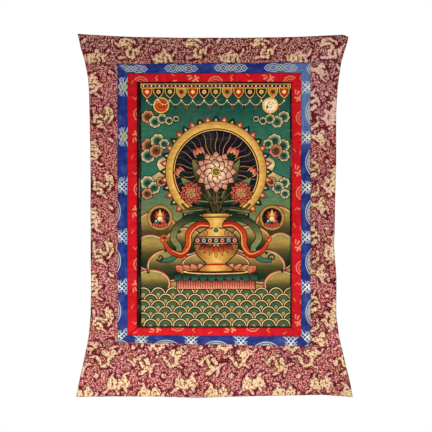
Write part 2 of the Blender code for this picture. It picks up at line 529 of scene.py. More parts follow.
class Effect(ABC):
    """A shader node group that is built once and placed in each finish."""

    name: str
    # The kind of each input by name
    inputs: dict[str, str]
    outputs: tuple[str, ...]

    def group(self) -> bpy.types.NodeTree:
        """The node group, built when it is first asked for."""
        if self.name in bpy.data.node_groups:
            return bpy.data.node_groups[self.name]
        tree = bpy.data.node_groups.new(self.name, "ShaderNodeTree")
        for name, kind in self.inputs.items():
            tree.interface.new_socket(name, in_out="INPUT", socket_type=kind)
        for name in self.outputs:
            tree.interface.new_socket(name, in_out="OUTPUT", socket_type="NodeSocketFloat")
        graph = Graph(tree)
        entry = tree.nodes.new("NodeGroupInput")
        drawn = self.draw(graph, {name: Wire(graph, entry.outputs[name]) for name in self.inputs})
        leave = tree.nodes.new("NodeGroupOutput")
        for name in self.outputs:
            graph.feed(leave.inputs[name], drawn[name])
        return tree

    @abstractmethod
    def draw(self, graph: Graph, given: dict[str, Wire]) -> dict[str, Wire]:
        """Draws the effect.

        Args:
            graph: Where the nodes go.
            given: The group's inputs by name.

        Returns:
            The group's outputs by name.
        """

    def place(self, graph: Graph, **inputs: Wire | float) -> dict[str, Wire]:
        """Places the group in a material.

        Args:
            graph: The material's graph.
            inputs: The group's inputs by name.

        Returns:
            The group's outputs by name.
        """
        node = graph.tree.nodes.new("ShaderNodeGroup")
        node.node_tree = self.group()
        for name, value in inputs.items():
            graph.feed(node.inputs[name], value)
        return {name: Wire(graph, node.outputs[name]) for name in self.outputs}


class SatinWeave(Effect):
    """Fine threads: weft floats across, bound down by warp threads in staggered steps."""

    name = "satin_weave"
    inputs = {"Cloth": "NodeSocketVector", "Weft": "NodeSocketFloat", "Warp": "NodeSocketFloat"}
    outputs = ("Height", "Tone")

    def draw(self, graph: Graph, given: dict[str, Wire]) -> dict[str, Wire]:
        """Rounded weft threads, each with a binding dip that steps along from row to row."""
        across, up, _ = graph.split(given["Cloth"])
        row = up / given["Weft"]
        count = row.floor()
        thread = (row - count).scaled(2.0, -1.0)
        crown = 1.0 - thread * thread
        step = across / given["Warp"] + count * 0.4
        dip = step.mirrored(0.5).ramp(5.0)
        thrown = graph.add("ShaderNodeTexWhiteNoise", None, count, noise_dimensions="1D")
        # The tone: each thread's own random tone, with a painted highlight on its rounded crown and painted
        # shade in its binding dips
        tone = thrown.scaled(0.5, 0.25) + crown * 0.25
        return {"Height": crown * dip, "Tone": tone * dip}


class Age(Effect):
    """Years of rolling and hanging: uneven fading, creases across the roll, and grime."""

    name = "age"
    inputs = {"Place": "NodeSocketVector", "Seed": "NodeSocketFloat"}
    outputs = ("Fade", "Crease", "Grime")

    def draw(self, graph: Graph, given: dict[str, Wire]) -> dict[str, Wire]:
        """Cloudy fading, and thin level creases that come and go."""
        x, y, z = graph.split(given["Place"])
        seed = given["Seed"]
        place = graph.join(x + seed, y, z)
        fade = graph.noise(place, 9.0, 3.0, flat=False)
        drift = graph.noise(place, 14.0, 2.0, flat=False)
        lines = graph.join(x * 5.0 + seed, y, z.scaled(70.0, drift * 3.2))
        crease = abs(graph.noise(lines, 1.0, 1.0, flat=False) - 0.5).ramp(-44.0, 1.0)
        patchy = graph.noise(place, 21.0, 1.0, flat=False).ramp(5.0, -2.2)
        grime = graph.noise(place, 60.0, 4.0, flat=False)
        return {"Fade": fade, "Crease": crease * patchy, "Grime": grime}


SATIN = SatinWeave()
AGE = Age()


# Finishes


class Finish(ABC):
    """The material of one kind of cloth, on its front or on its back."""

    name: str
    roughness: float
    sheen: float

    def material(self, back: bool = False) -> bpy.types.Material:
        """The material for the cloth's front or back, built when it is first asked for.

        Args:
            back: True for the side that faces the wall.

        Returns:
            The material.
        """
        name = f"{self.name}_{'back' if back else 'front'}"
        if name in bpy.data.materials:
            return bpy.data.materials[name]
        made = bpy.data.materials.new(name)
        made.use_nodes = True
        tree = made.node_tree
        tree.nodes.clear()
        graph = Graph(tree)
        shown = self.back(graph) if back else self.front(graph)
        bumped = {"Strength": 0.7, "Distance": MM, "Height": shown["Height"]}
        shader = graph.add("ShaderNodeBsdfPrincipled", named={
            "Base Color": shown["Color"],
            "Roughness": shown["Roughness"],
            "Normal": graph.add("ShaderNodeBump", named=bumped),
            "Sheen Weight": self.sheen,
            "Sheen Roughness": 0.45,
            "Specular IOR Level": 0.16,
        })
        output = tree.nodes.new("ShaderNodeOutputMaterial")
        graph.feed(output.inputs["Surface"], shader)
        return made

    @staticmethod
    def cloth(graph: Graph) -> Wire:
        """The place on the flat cloth, in millimetres."""
        flat = graph.add("ShaderNodeUVMap", uv_map=CLOTH_MAP)
        return flat.vector("MULTIPLY", (1 / MM, 1 / MM, 0.0))

    @staticmethod
    def placed(graph: Graph) -> Wire:
        """The place in the hanging, in metres."""
        return graph.add("ShaderNodeTexCoord", output="Object")

    def aged(self, graph: Graph, seed: float) -> dict[str, Wire]:
        """The wear of years, which a seed makes different from cloth to cloth."""
        return AGE.place(graph, Place=self.placed(graph), Seed=seed)

    @abstractmethod
    def front(self, graph: Graph) -> dict[str, Wire]:
        """Draws the front.

        Args:
            graph: Where the nodes go.

        Returns:
            The Color, the Roughness, and the Height in millimetres.
        """

    @abstractmethod
    def back(self, graph: Graph) -> dict[str, Wire]:
        """Draws the back, and returns what front returns."""


class Brocade(Finish):
    """Satin woven with a motif in coloured wefts."""

    ground: Dye
    ground_deep: Dye
    back_tone: Dye
    back_float: Dye
    # How far in from its edge the cloth is darker, in metres
    hem_shade: float = 0.0026

    def about(self, graph: Graph, at: tuple[float, ...], reach: tuple[float, ...]) -> Wire:
        """1 about a place in the hanging, and 0 past a reach that each way has."""
        away = self.placed(graph).vector("SUBTRACT", at).vector("DIVIDE", reach)
        return away.vector("LENGTH", output=1).ramp(-1.6, 1.8)

    @abstractmethod
    def motif(self, graph: Graph, cloth: Wire) -> tuple[Wire, Wire, Wire]:
        """Draws the motif.

        Args:
            graph: Where the nodes go.
            cloth: The place on the flat cloth, in millimetres.

        Returns:
            The colour with the motif on it, the share of the surface that is motif, and its
            height in millimetres.
        """

    def front(self, graph: Graph) -> dict[str, Wire]:
        """The motif on satin, with threads, faded, with painted shade in its creases."""
        cloth = self.cloth(graph)
        weave = SATIN.place(graph, Cloth=cloth, Weft=0.42, Warp=1.7)
        colour, share, height = self.motif(graph, cloth)
        age = self.aged(graph, float(len(self.name)))
        faded = age["Fade"].scaled(0.5, 0.75)
        shaded = graph.blend(graph.carried("edge").ramp(1 / self.hem_shade), 0.55, 1.0)
        # Painted shade in the creases
        crease_shade = age["Crease"].scaled(-0.16, 1.0)
        tone = weave["Tone"].scaled(0.34, 0.80) * faded * shaded * crease_shade
        rough = graph.blend(share, self.roughness, self.roughness - 0.10)
        return {
            "Color": graph.shade(colour, tone),
            "Roughness": rough + age["Grime"] * 0.08,
            "Height": height + weave["Height"] * 0.07 + age["Crease"] * -0.12,
        }

    def back(self, graph: Graph) -> dict[str, Wire]:
        """Loose wefts floating over a dull ground, and the front where the cloth is turned under."""
        cloth = self.cloth(graph)
        across, up, _ = graph.split(cloth)
        weave = SATIN.place(graph, Cloth=cloth, Weft=0.8, Warp=4.0)
        floats = graph.noise(graph.join(across * 0.06, up * 0.9), 1.0, 3.0).ramp(6.0, -2.6)
        age = self.aged(graph, 7.0)
        colour = graph.mix(floats * 0.6, self.back_tone, self.back_float)
        turned_under = (graph.carried("edge") - CLOTH.turned_width).inside(0.0003)
        colour = graph.mix(turned_under, colour, self.ground)
        tone = weave["Tone"].scaled(0.5, 0.7) * age["Fade"].scaled(0.5, 0.75)
        return {
            "Color": graph.shade(colour, tone),
            "Roughness": age["Grime"].scaled(0.1, 0.7),
            "Height": weave["Height"] * 0.12 + floats * 0.1,
        }


@dataclass(frozen=True)
class Dragon:
    """A woven dragon: where its middle comes in the repeat, and its lines, in millimetres."""

    x: float
    y: float
    body: tuple[tuple[Joint, ...], ...]
    limbs: tuple[tuple[Joint, ...], ...]


# A ragged crest with raised claws over an upright trunk, its tail swung out to the left
CROWNED = Dragon(
    0, 0,
    body=(
        ((-3, 11, 3.2), (5, 6.5, 5), (13, 4, 5.4)), ((13, 5, 4.8), (21, 11.5, 3)),
        ((-3, 11, 2.6), (3, 15, 2)), ((11, 10, 3), (18, 15, 2)), ((10, 1, 4.4), (9, -9, 3.2)),
        ((9, -9, 3), (1, -16, 3), (-5, -17, 2.8), (-10, -8, 3), (-14, 0, 2.8)),
        ((-14, 0, 2.6), (-20, 3, 2.2)),
    ),
    limbs=(
        ((-20, 3, 1.8), (-32, 1, 0.9)), ((21, 8, 1.8), (28, 11, 1.4), (33, 18, 0.9)),
        ((11, 18, 1.2), (19, 22, 1.2)), ((19, 22, 1.1), (27, 23.4, 0.7)), ((7, -12, 1.8), (15, -17, 1.4)),
        ((15, -17, 1.3), (20, -19.6, 1)),
    ),
)
# An arched back with a hump behind it, a long neck to the right, and both feet below
LOOPED = Dragon(
    74.4, -16,
    body=(
        ((-15.4, 1, 2.2), (-13.4, 13, 2.6)), ((-13.4, 13, 2.8), (-7, 17, 2.4), (-3, 10, 2.6)),
        ((-3, 10, 2.8), (1, 0.5, 2.8)), ((1, 0.5, 3), (9, -5.5, 3.4)), ((9, -5.5, 3.8), (18.5, -4, 3.2)),
        ((9.6, 12, 4.4), (13, 4.5, 3.6)), ((6.6, -9, 3.2), (0, -15, 3.2)),
    ),
    limbs=(
        ((-28.4, 13, 0.9), (-21.4, 9, 1.5), (-15.4, 1, 1.9)),
        ((-5.4, 17, 1.6), (-0.4, 21.4, 1.3), (6.6, 20.4, 1)), ((18.5, -4, 2), (23, 2, 1.6)),
        ((23, 2, 1.4), (32.6, 4, 0.9)), ((0, -15, 2), (-5, -16.5, 1.6)), ((18.5, -6, 2.4), (17, -14, 2)),
        ((17, -14, 1.8), (15.6, -21, 1.1)),
    ),
)
# Two humps side by side, the first round a gap, with an arm raised over the second
HUMPED = Dragon(
    25, -50,
    body=(
        ((-14.5, -8, 4.2), (-14.5, 4, 3.6), (-9.5, 9, 3.4), (-4.5, 3, 3.4), (-4.5, -8, 3.8)),
        ((-14, -9, 4), (4, -9, 3.4)), ((4.5, -8, 3.4), (5, 4.5, 3)), ((6, -5, 3.8), (19, -5, 4)),
        ((10.5, 2, 4), (14, 10, 3.8)), ((14, 10, 3.6), (19.5, 4, 3.4), (19.5, -6, 3.4)),
    ),
    limbs=(
        ((13, 12, 2), (16, 18, 1.6)), ((16, 18, 1.5), (24, 20, 1)), ((22, 4, 1.4), (26.5, -7, 0.9)),
        ((-15, -11, 2.2), (-20, -16, 1.8)), ((-20, -16, 1.7), (-26, -19.5, 1.8)),
        ((-4, -12, 1.8), (0.5, -19, 1.3), (3, -22.5, 1)), ((15, -9, 2.2), (18.5, -17, 1.4)),
        ((-12, 13, 0.9), (-8, 17.5, 0.6)),
    ),
)
# A curled head above an S that ends in a hook
CURLED = Dragon(
    -27, 33,
    body=(
        ((-20, 6, 2.8), (-16, 15.5, 2.8), (-4, 18.5, 2.8)), ((-4, 18.5, 2.6), (8, 13, 1.7)),
        ((-18, 8, 3.2), (-4, 9.5, 3)),
        ((-4, 9.5, 2.8), (3, 2, 2.8), (-4, -6, 2.8), (-3, -16.5, 2.8), (8, -18.5, 2.6)),
        ((8, -18.5, 2.3), (8, -5, 2.2)), ((8, -5, 2.1), (14, -2, 2)), ((14, -2, 1.9), (17, -12, 1.8)),
    ),
    limbs=(
        ((17, -12, 1.6), (20, 2, 1.4), (26, 7, 1)), ((-26.5, 10, 1.2), (-20, 4, 1.5)),
        ((-19, -19, 2.3), (-6, -18, 1.6)), ((8, 13, 1.6), (11, 9.5, 1.3)),
    ),
)
# A round body with three prongs and a hook
ROUND = Dragon(
    -28, 26,
    body=(
        ((-11, -4, 3.2), (-9, 6, 3.2)), ((-9, 6, 3), (0, 2.5, 2.8), (9, 5.5, 3)),
        ((-9, -6, 3), (0, -10, 3.2), (8, -5, 3)), ((9, 5.5, 2.8), (9, -5, 2.8)),
        ((-9, 6, 2.6), (-11.5, 15, 2)), ((0, 3, 2.4), (3, 15, 2)),
    ),
    limbs=(
        ((9, 6, 1.9), (12.5, 14, 1.5)), ((0, -11, 1.9), (-1, -17, 1.2)), ((10, -2, 1.5), (16, 4, 1.5)),
        ((16, 4, 1.4), (20, -2, 1.2)), ((-12, -5, 1.5), (-15.5, -10, 1.1)),
    ),
)
# A low row of humps with a raised arm and a hook at the end, and a flame above
LOW = Dragon(
    40.5, 15,
    body=(
        ((-12, -8, 2.8), (-13, 4, 2.8), (-4, 5, 2.8)), ((-4, 5, 3), (-4, -8, 3)), ((4, 3, 3), (6, -8, 3)),
        ((4, 3, 2.8), (14, 4, 2.8)), ((14, 4, 2.6), (17, -8, 2.4)), ((-18, -6, 2.4), (-2, -9, 2.6)),
    ),
    limbs=(
        ((-21.5, 2.5, 1.9), (-18, -6, 2)), ((-1, 6, 1.4), (1, 15, 1.3), (8, 6, 1.4)),
        ((18, 1, 1.3), (22, 6, 1.3)), ((22, 6, 1.6), (27, 15, 1.5)), ((-12, -10, 1.6), (-15, -18, 1.2)),
        ((6, -10, 1.6), (5, -18, 1.2)), ((-25, 31, 2.6), (-20, 37, 1.5)),
    ),
)


class MaroonBrocade(Brocade):
    """Maroon satin with pale gold dragons and flaming pearls among cloud scrolls."""

    name = "maroon_brocade"
    roughness = 0.50
    sheen = 0.05
    ground = Dye(148, 24, 36)
    # The deep ground round the dragons, and also the colour of the painted shade toward the top
    ground_deep = Dye(88, 5, 8)
    scroll = Dye(248, 180, 170)
    straw = Dye(226, 170, 142)
    gold = Dye(255, 225, 178)
    tan = Dye(240, 176, 124)
    shade = Dye(128, 48, 40)
    pink = Dye(255, 194, 174)
    # The mauve that patches of painted sheen give the ground
    bloom = Dye(146, 36, 68)
    back_tone = Dye(120, 66, 58)
    back_float = Dye(196, 160, 118)
    repeat = 135.0
    rise = 110.0
    humped_drop = 20.0
    # Cloth whose map starts this far up shows the two dragons of the repeat's other rows
    other_rows = 550.0
    hidden = 99.0
    swirl = 12.5
    swirl_pitch = 4.0
    swirl_stray = 4.5
    waver = 5.0
    # Painted shade darkens the ground toward the top: where it starts, in metres, and how fast it grows
    top_shade_start = -0.090
    top_shade_growth = 14.0
    # Painted sheen turns the threads and the ground pink toward the top right: its middle and its reach, in
    # metres
    sheen_pink = Dye(252, 200, 194)
    sheen_at = (0.235, 0.0, -0.090)
    sheen_reach = (0.085, 1.0, 0.110)
    # Flaming pearls: x, y and radius
    pearls = ((57.0, 20.0, 3.4), (-17.0, -36.0, 4.2))

    def motif(self, graph: Graph, cloth: Wire) -> tuple[Wire, Wire, Wire]:
        """Dragons and pearls in gold and pink over cloud scrolls."""
        strayed = graph.add(
            "ShaderNodeTexNoise", noise_dimensions="2D", output="Color",
            named={"Vector": cloth, "Scale": 0.16, "Detail": 1.0},
        ).vector("SUBTRACT", (0.5, 0.5, 0.5))
        across, up, _ = graph.split(strayed.vector("MULTIPLY_ADD", (self.waver, self.waver, 0.0), cloth))
        body, limbs = self.dragons(graph, across, up)
        ragged = graph.noise(cloth, 0.42, 2.0).scaled(6.0, -3.3)
        body, limbs = body + ragged, limbs + ragged - 0.5
        figure = body.least(limbs)
        patchy = graph.noise(cloth, 0.075, 1.0)
        shadow = (figure + patchy.scaled(18.0, -12.0)).inside(2.0)
        clear = (figure - 2.0).inside(1.4).most(shadow * (figure - 7.5).inside(2.0))
        line = self.scrolls(graph, cloth, strayed) * (1.0 - clear)
        # Painted sheen: pinks the threads and the scroll lines toward the top right
        sheen_share = self.about(graph, self.sheen_at, self.sheen_reach)
        ground = self.satin(graph, cloth, clear, sheen_share)
        tint = graph.mix(patchy.ramp(5.0, -2.0), self.scroll, self.straw)
        woven = graph.mix(line, ground, graph.mix(sheen_share * 0.45, tint, self.sheen_pink))
        notched = graph.noise(cloth, 0.23, 2.0)
        gold = graph.mix(notched.ramp(5.0, -2.1), self.gold, self.tan)
        thread = graph.mix((limbs - body).inside(2.5), gold, self.pink)
        gaps = notched.ramp(11.0, -6.0) * (figure + 0.3).inside(0.6)
        thread = graph.mix(gaps * 0.9, thread, self.shade)
        thread = graph.mix(sheen_share * 0.6, thread, self.sheen_pink)
        shown = figure.inside(0.6)
        relief = (figure - 0.3).inside(1.6) * 0.32 + line * 0.10
        return graph.mix(shown, woven, thread), shown.most(line * 0.6), relief

    def satin(self, graph: Graph, cloth: Wire, clear: Wire, sheen_share: Wire) -> Wire:
        """The ground: mauve in patches of painted sheen, dark round the dragons, and painted darker toward
        the top as shade.

        Args:
            graph: Where the nodes go.
            cloth: The place on the flat cloth, in millimetres.
            clear: 1 round the dragons, where there are no scrolls.
            sheen_share: 1 where painted sheen turns the cloth pink.

        Returns:
            The colour.
        """
        # Painted sheen: mauve patches on the ground, more of them toward the top right
        blooms = graph.noise(cloth, 0.024, 2.0).ramp(7.0, -3.4)
        ground = graph.mix(blooms.most(sheen_share * 0.6) * 0.8, self.ground, self.bloom)
        # Painted shade: the ground darker toward the top
        _, _, height = graph.split(self.placed(graph))
        top_shade = (height - self.top_shade_start).math("MULTIPLY", self.top_shade_growth, clamp=True)
        return graph.mix((clear * 0.8).most(top_shade * 0.75), ground, self.ground_deep)

    def dragons(self, graph: Graph, across: Wire, up: Wire) -> tuple[Wire, Wire]:
        """The signed distances from the dragons' bodies, and from their limbs and the pearls.

        Args:
            graph: Where the nodes go.
            across: The place along the pattern, in millimetres.
            up: The place up the pattern, in millimetres.

        Returns:
            The two distances, below 0 inside.
        """
        other = (up - self.other_rows).above(0.0)
        away, other_away = other * self.hidden, other.scaled(-self.hidden, self.hidden)
        body = limbs = None
        for dragon in (CROWNED, LOOPED, HUMPED, ROUND, CURLED, LOW):
            place = self.cell(graph, across, up, dragon)
            apart = other_away if dragon in (CURLED, LOW) else away
            trunk = strokes(graph, place, dragon.body) + apart
            body = trunk if body is None else body.least(trunk)
            claws = strokes(graph, place, dragon.limbs) + apart
            limbs = claws if limbs is None else limbs.least(claws)
        for x, y, radius in self.pearls:
            place = graph.join((across - x).around(self.repeat), (up - y).around(self.rise))
            pearl = place.vector("LENGTH", output=1) - radius
            limbs = limbs.least(pearl + away)
        return body, limbs

    def cell(self, graph: Graph, across: Wire, up: Wire, dragon: Dragon) -> Wire:
        """The place from the middle of the nearest such dragon, in millimetres."""
        if dragon is not HUMPED:
            return graph.join((across - dragon.x).around(self.repeat), (up - dragon.y).around(self.rise))
        half = self.repeat / 2
        columns = (across - dragon.x).scaled(1 / half, 0.5)
        column = columns.floor()
        odd = column.math("FLOORED_MODULO", 2.0)
        x = (columns - column).scaled(half, -half / 2) * odd.scaled(-2.0, 1.0)
        return graph.join(x, odd.scaled(self.humped_drop, up - dragon.y).around(self.rise))

    def scrolls(self, graph: Graph, cloth: Wire, strayed: Wire) -> Wire:
        """Fine broken spiral lines that fill the ground in clusters.

        Args:
            graph: Where the nodes go.
            cloth: The place on the flat cloth, in millimetres.
            strayed: How far and which way the threads stray.

        Returns:
            The share of the surface that is line.
        """
        loose = strayed.vector("MULTIPLY_ADD", (self.swirl_stray, self.swirl_stray, 0.0), cloth)
        place = loose.vector("MULTIPLY", (1 / self.swirl,) * 3)
        away = place.vector("SUBTRACT", graph.cells(place, 0.9, "Position"))
        reach = away.vector("LENGTH", output=1) * (self.swirl / self.swirl_pitch)
        side, rise, _ = graph.split(away)
        turn = rise.math("ARCTAN2", side) * (1 / math.tau)
        spiral = (reach + turn).mirrored(0.5)
        broken = graph.noise(place, 3.8, 1.0)
        return (spiral + broken.scaled(-1.9, 0.79)).inside(0.16)


class BlueBrocade(Brocade):
    """Royal blue satin with pale lattice medallions in one row and knots in the other."""

    name = "blue_brocade"
    roughness = 0.46
    sheen = 0.06
    ground = Dye(38, 58, 154)
    ground_deep = Dye(22, 30, 98)
    # The paler blue of the painted sheen near the top right and of the random mottles
    sheen_and_mottle = Dye(118, 148, 200)
    pale = Dye(202, 208, 202)
    white = Dye(248, 246, 236)
    olive = Dye(112, 122, 120)
    straw = Dye(196, 194, 178)
    heart = Dye(196, 188, 104)
    back_tone = Dye(52, 62, 110)
    back_float = Dye(140, 148, 160)
    half_period = 50.0
    second_row = 100.0
    # Where painted sheen makes it paler near the top right, in metres: the middle, and the reach across and
    # up
    blue_sheen_at = (0.178, 0.0, -0.118)
    blue_sheen_reach = (0.075, 1.0, 0.105)
    # The left strip's upper part is cut so that the knots show their yellow hearts
    hearted_left_of = -0.160
    hearted_above = -0.2862
    # How far out the left strip's knots lie from its middle, in millimetres
    cut_outward = 6.0
    # Added to a distance where its motif is left out, in millimetres
    hidden = 60.0
    # The short arms on a medallion's ring, and a knot's cross and tails, in millimetres
    arm = ((9, 8, 0.7), (19, 7.4, 0.7)), ((19, 7.4, 0.7), (25, 5.2, 0.5))
    cross = ((0, -0.6, 1.1), (7, 7, 0.9)), ((0, -0.6, 1.3), (5, -9.2, 1.2))
    tails = (
        ((8.6, 7.6, 0.9), (12.6, 10.2, 0.8), (16, 12.4, 0.5)), ((10, 12.4, 0.6), (15.6, 14.8, 0.5)),
        ((8, 1.2, 0.8), (12.6, 3.4, 0.5)), ((6.6, -5.2, 0.8), (10.4, -7.6, 0.6)),
    )

    def motif(self, graph: Graph, cloth: Wire) -> tuple[Wire, Wire, Wire]:
        """Medallions where the cloth runs from 0, knots and half medallions from 100 mm up."""
        drift = graph.noise(cloth, 0.05, 1.0).scaled(1.6, -0.8)
        across, up, _ = graph.split(cloth)
        aside = (across + drift).mirrored(self.half_period)
        second = (up - self.second_row / 2).above(0.0)
        side, _, height = graph.split(self.placed(graph))
        hearted = side.math("LESS_THAN", self.hearted_left_of) * height.above(self.hearted_above) * second
        medallion, middle = self.medallion(graph, aside, abs(up))
        spread_out = aside * hearted.scaled(-0.34, 1.0)
        centred = hearted.scaled(-self.cut_outward, up) - self.second_row
        knot, star, filled = self.knot(graph, spread_out, centred, hearted)
        lines = graph.blend(second, medallion, knot).inside(0.7)
        hatched = graph.blend(second, middle, filled).inside(1.0)
        bright = star.inside(0.8) * second
        ground = self.satin(graph, across, up)
        dull = graph.mix(second, self.olive, graph.mix(hearted, self.straw, self.heart))
        colour = graph.mix(hatched * hearted.scaled(0.15, 0.6), ground, dull)
        inked = hatched * hearted.scaled(-0.5, 0.0) + 1.0
        colour = graph.mix(lines * inked, colour, self.pale)
        share = lines.most(bright).most(hatched)
        return graph.mix(bright, colour, self.white), share, share * 0.16

    def satin(self, graph: Graph, across: Wire, up: Wire) -> Wire:
        """Streaked blue satin whose streaks are painted sheen, paler in a painted sheen near the top right
        and in random mottles.
        """
        streak = graph.noise(graph.join(across * 0.03, up * 0.3), 1.0, 3.0).ramp(2.0, -0.5)
        ground = graph.mix(streak, self.ground_deep, self.ground)
        # Painted sheen near the top right, broken up by the streaks
        pale = self.about(graph, self.blue_sheen_at, self.blue_sheen_reach) * (streak * 0.4 + 0.5)
        mottled = graph.noise(graph.join(across, up), 0.045, 3.0).ramp(2.4, -1.15)
        return graph.mix(pale.most(mottled * 0.36), ground, self.sheen_and_mottle)

    def medallion(self, graph: Graph, aside: Wire, off: Wire) -> tuple[Wire, Wire]:
        """A long medallion: a hatched middle, a ring to each side, and pointed ends.

        Args:
            graph: Where the nodes go.
            aside: The distance from the medallion's middle along the strip.
            off: The distance from its axis.

        Returns:
            The signed distance from its lines, and from its middle.
        """
        middle = (aside - 10.5).most(off - 6.4)
        hatch = (aside + off).mirrored(3.4).least((aside - off).mirrored(3.4)) - 0.85
        ring = graph.length(aside - 16.0, off)
        lines = hatch.most(middle).least(abs(ring - 4.7) - 0.7).least(ring - 1.3)
        point = (abs(aside - 26.5) + off) * 0.7
        lines = lines.least(abs(point - 4.4) - 0.7).least(abs(point - 1.2) - 0.5)
        return lines.least(strokes(graph, graph.join(aside, off), self.arm)), middle

    def knot(self, graph: Graph, aside: Wire, up: Wire, hearted: Wire) -> tuple[Wire, Wire, Wire]:
        """A latticed knot with a cross and tails, and between knots the top of a latticed round.

        Args:
            graph: Where the nodes go.
            aside: The distance from the knot's middle along the strip.
            up: The place across the strip, above 0 on the side of the painting.
            hearted: 1 where the knot shows a yellow heart and no rounds.

        Returns:
            The signed distance from its lines, from its bright cross, and from its dull parts.
        """
        place = graph.join(aside, up)
        lattice = (aside + up).mirrored(4.2).least((aside - up).mirrored(4.2)) - 1.2
        wedge = (up.scaled(-0.30, aside * 0.9) - 6.3).most(up - 15.5)
        cross = strokes(graph, place, self.cross).least(lattice.most(wedge).most(up - 3.5))
        tails = strokes(graph, place, self.tails)
        loop = abs(graph.length(aside - 9.8, up + 2.4) - 1.9) - 0.6
        heart = graph.length(aside * 1.2, up - 2.4) - 6.8
        rim = graph.length(aside - self.half_period, up + 35.8) - 37.8 + hearted * self.hidden
        arch = (abs(rim) - 0.9).least(lattice.most(rim + 3.0))
        dull = (rim + 2.6).least(hearted.scaled(-self.hidden, heart + self.hidden))
        lines = tails.least(loop).least(lattice.most(wedge))
        return lines.least(arch), hearted.scaled(self.hidden, cross), dull


class RedBrocade(Brocade):
    """Bright red satin with scattered small motifs in orange."""

    name = "red_brocade"
    roughness = 0.52
    sheen = 0.01
    ground = Dye(240, 8, 34)
    ground_deep = Dye(206, 2, 18)
    orange = Dye(240, 96, 68)
    cream = Dye(250, 156, 118)
    back_tone = Dye(176, 40, 44)
    back_float = Dye(214, 120, 84)
    period = 150.0
    rosette_rise = 12.0
    rosette_reach = 14.6
    rosette_petals = 11
    # The small sprigs between the rosettes, in millimetres
    sprigs = (
        ((31, 7.6, 1.3), (33.6, 3.6, 1.5)), ((33.6, 3.6, 1.4), (30, 0.4, 1.2), (34.6, -4.6, 0.9)),
        ((-40, 3, 2), (-44.5, 6.6, 2.5)), ((-40, 3, 2), (-35.6, 6.6, 2.5)), ((-40, 1, 2), (-34.2, 0, 2.3)),
        ((-40, 1, 2), (-40.5, -4, 2.2)), ((-47, -0.4, 1.8), (-52.5, 2.6, 2.4)),
        ((-48, -4, 1.2), (-55.5, -3.6, 1.9)), ((62, -7, 1.3), (68.5, -3.4, 0.9)),
        ((66, 7.4, 1.9), (72, 6, 1.5)),
    )

    def motif(self, graph: Graph, cloth: Wire) -> tuple[Wire, Wire, Wire]:
        """Half rosettes on the inner edge, with sprigs between them."""
        across, up, _ = graph.split(cloth)
        local = across.around(self.period)
        sprig = strokes(graph, graph.join(local, up), self.sprigs, merge=0.6)
        from_centre = up - self.rosette_rise
        away = graph.length(local, from_centre)
        side = from_centre.math("ARCTAN2", local) * (self.rosette_petals / math.tau)
        petals = side.mirrored(0.5).scaled(2.4, away) - self.rosette_reach
        rosette = (abs(petals) - 1.5).least(abs(away - 9.0) - 1.2).least(away - 4.6)
        figure = sprig.least(rosette)
        shown = figure.inside(0.7)
        streak = graph.noise(graph.join(across * 0.12, up * 0.06), 1.0, 3.0).ramp(2.6, -0.8)
        ground = graph.mix(streak, self.ground_deep, self.ground)
        thread = graph.mix((figure + 0.9).inside(0.6), self.orange, self.cream)
        return graph.mix(shown, ground, thread), shown, shown * 0.16


class PaintedCotton(Finish):
    """Primed cotton under matte paint, with gilding, fine weave and rolled-in cracks."""

    name = "painted_canvas"
    roughness = 0.72
    sheen = 0.0
    priming = Dye(196, 178, 140)
    cotton = Dye(206, 190, 156)
    stain = Dye(150, 120, 84)
    gilt_roughness = 0.42
    # Above 1 the paint looks deeper
    depth = 1.22

    def front(self, graph: Graph) -> dict[str, Wire]:
        """The painted colours, uneven as by brush, cracked across where the cloth was rolled."""
        cloth = self.cloth(graph)
        paint, gilt = graph.carried("paint", "Color"), graph.carried("gilt")
        weave = SATIN.place(graph, Cloth=cloth, Weft=0.7, Warp=1.4)
        age = self.aged(graph, 3.0)
        across, up, _ = graph.split(cloth)
        brushed = graph.noise(graph.join(across * 0.07, up * 0.16), 1.0, 4.0)
        crackle = graph.cells(graph.join(across * 0.10, up * 0.42), 1.0, "Distance", "DISTANCE_TO_EDGE")
        flaking = graph.noise(cloth, 0.018, 3.0).ramp(6.0, -3.2)
        cracks = crackle.ramp(-30.0, 1.0) * flaking
        tone = brushed.scaled(0.95, 0.76) * weave["Tone"].scaled(0.25, 0.86) * age["Fade"].scaled(0.4, 0.8)
        lit = graph.shade(graph.add("ShaderNodeGamma", paint, self.depth), tone)
        worn = graph.mix(cracks * 0.40, lit, self.priming)
        return {
            "Color": graph.mix(age["Crease"] * 0.12, worn, self.priming),
            "Roughness": graph.blend(gilt, self.roughness, self.gilt_roughness) + age["Grime"] * 0.1,
            "Height": weave["Height"] * 0.05 + gilt * 0.05 - cracks * 0.08 - age["Crease"] * 0.10,
        }

    def back(self, graph: Graph) -> dict[str, Wire]:
        """Bare primed cotton, stained with age."""
        weave = SATIN.place(graph, Cloth=self.cloth(graph), Weft=0.7, Warp=1.4)
        age = self.aged(graph, 11.0)
        stained = age["Fade"].ramp(1.6, -0.5) + age["Crease"] * 0.4
        colour = graph.mix(stained, self.cotton, self.stain)
        return {
            "Color": graph.shade(colour, weave["Tone"].scaled(0.5, 0.7)),
            "Roughness": age["Grime"].scaled(0.1, 0.8),
            "Height": weave["Height"] * 0.10,
        }


MAROON = MaroonBrocade()
BLUE = BlueBrocade()
RED = RedBrocade()
COTTON = PaintedCotton()


# Sheets of cloth


@dataclass(frozen=True)
class Cloth:
    """The thicknesses of a sheet and how its edges fold, in metres."""

    single: float = 0.0009
    turned: float = 0.0016
    hem: float = 0.0020
    turned_width: float = 0.0065
    hem_width: float = 0.0100
    slope: float = 0.0012
    fold_depth: float = 0.00050
    fold_reach: float = 0.0016
    # Between neighbouring sheets, which overlap where it is below 0
    gap: float = -0.00030
    pitch: float = 0.0030
    edge_steps: tuple[float, ...] = (0.0, 0.0003, 0.0008, 0.0015, 0.0026)


CLOTH = Cloth()


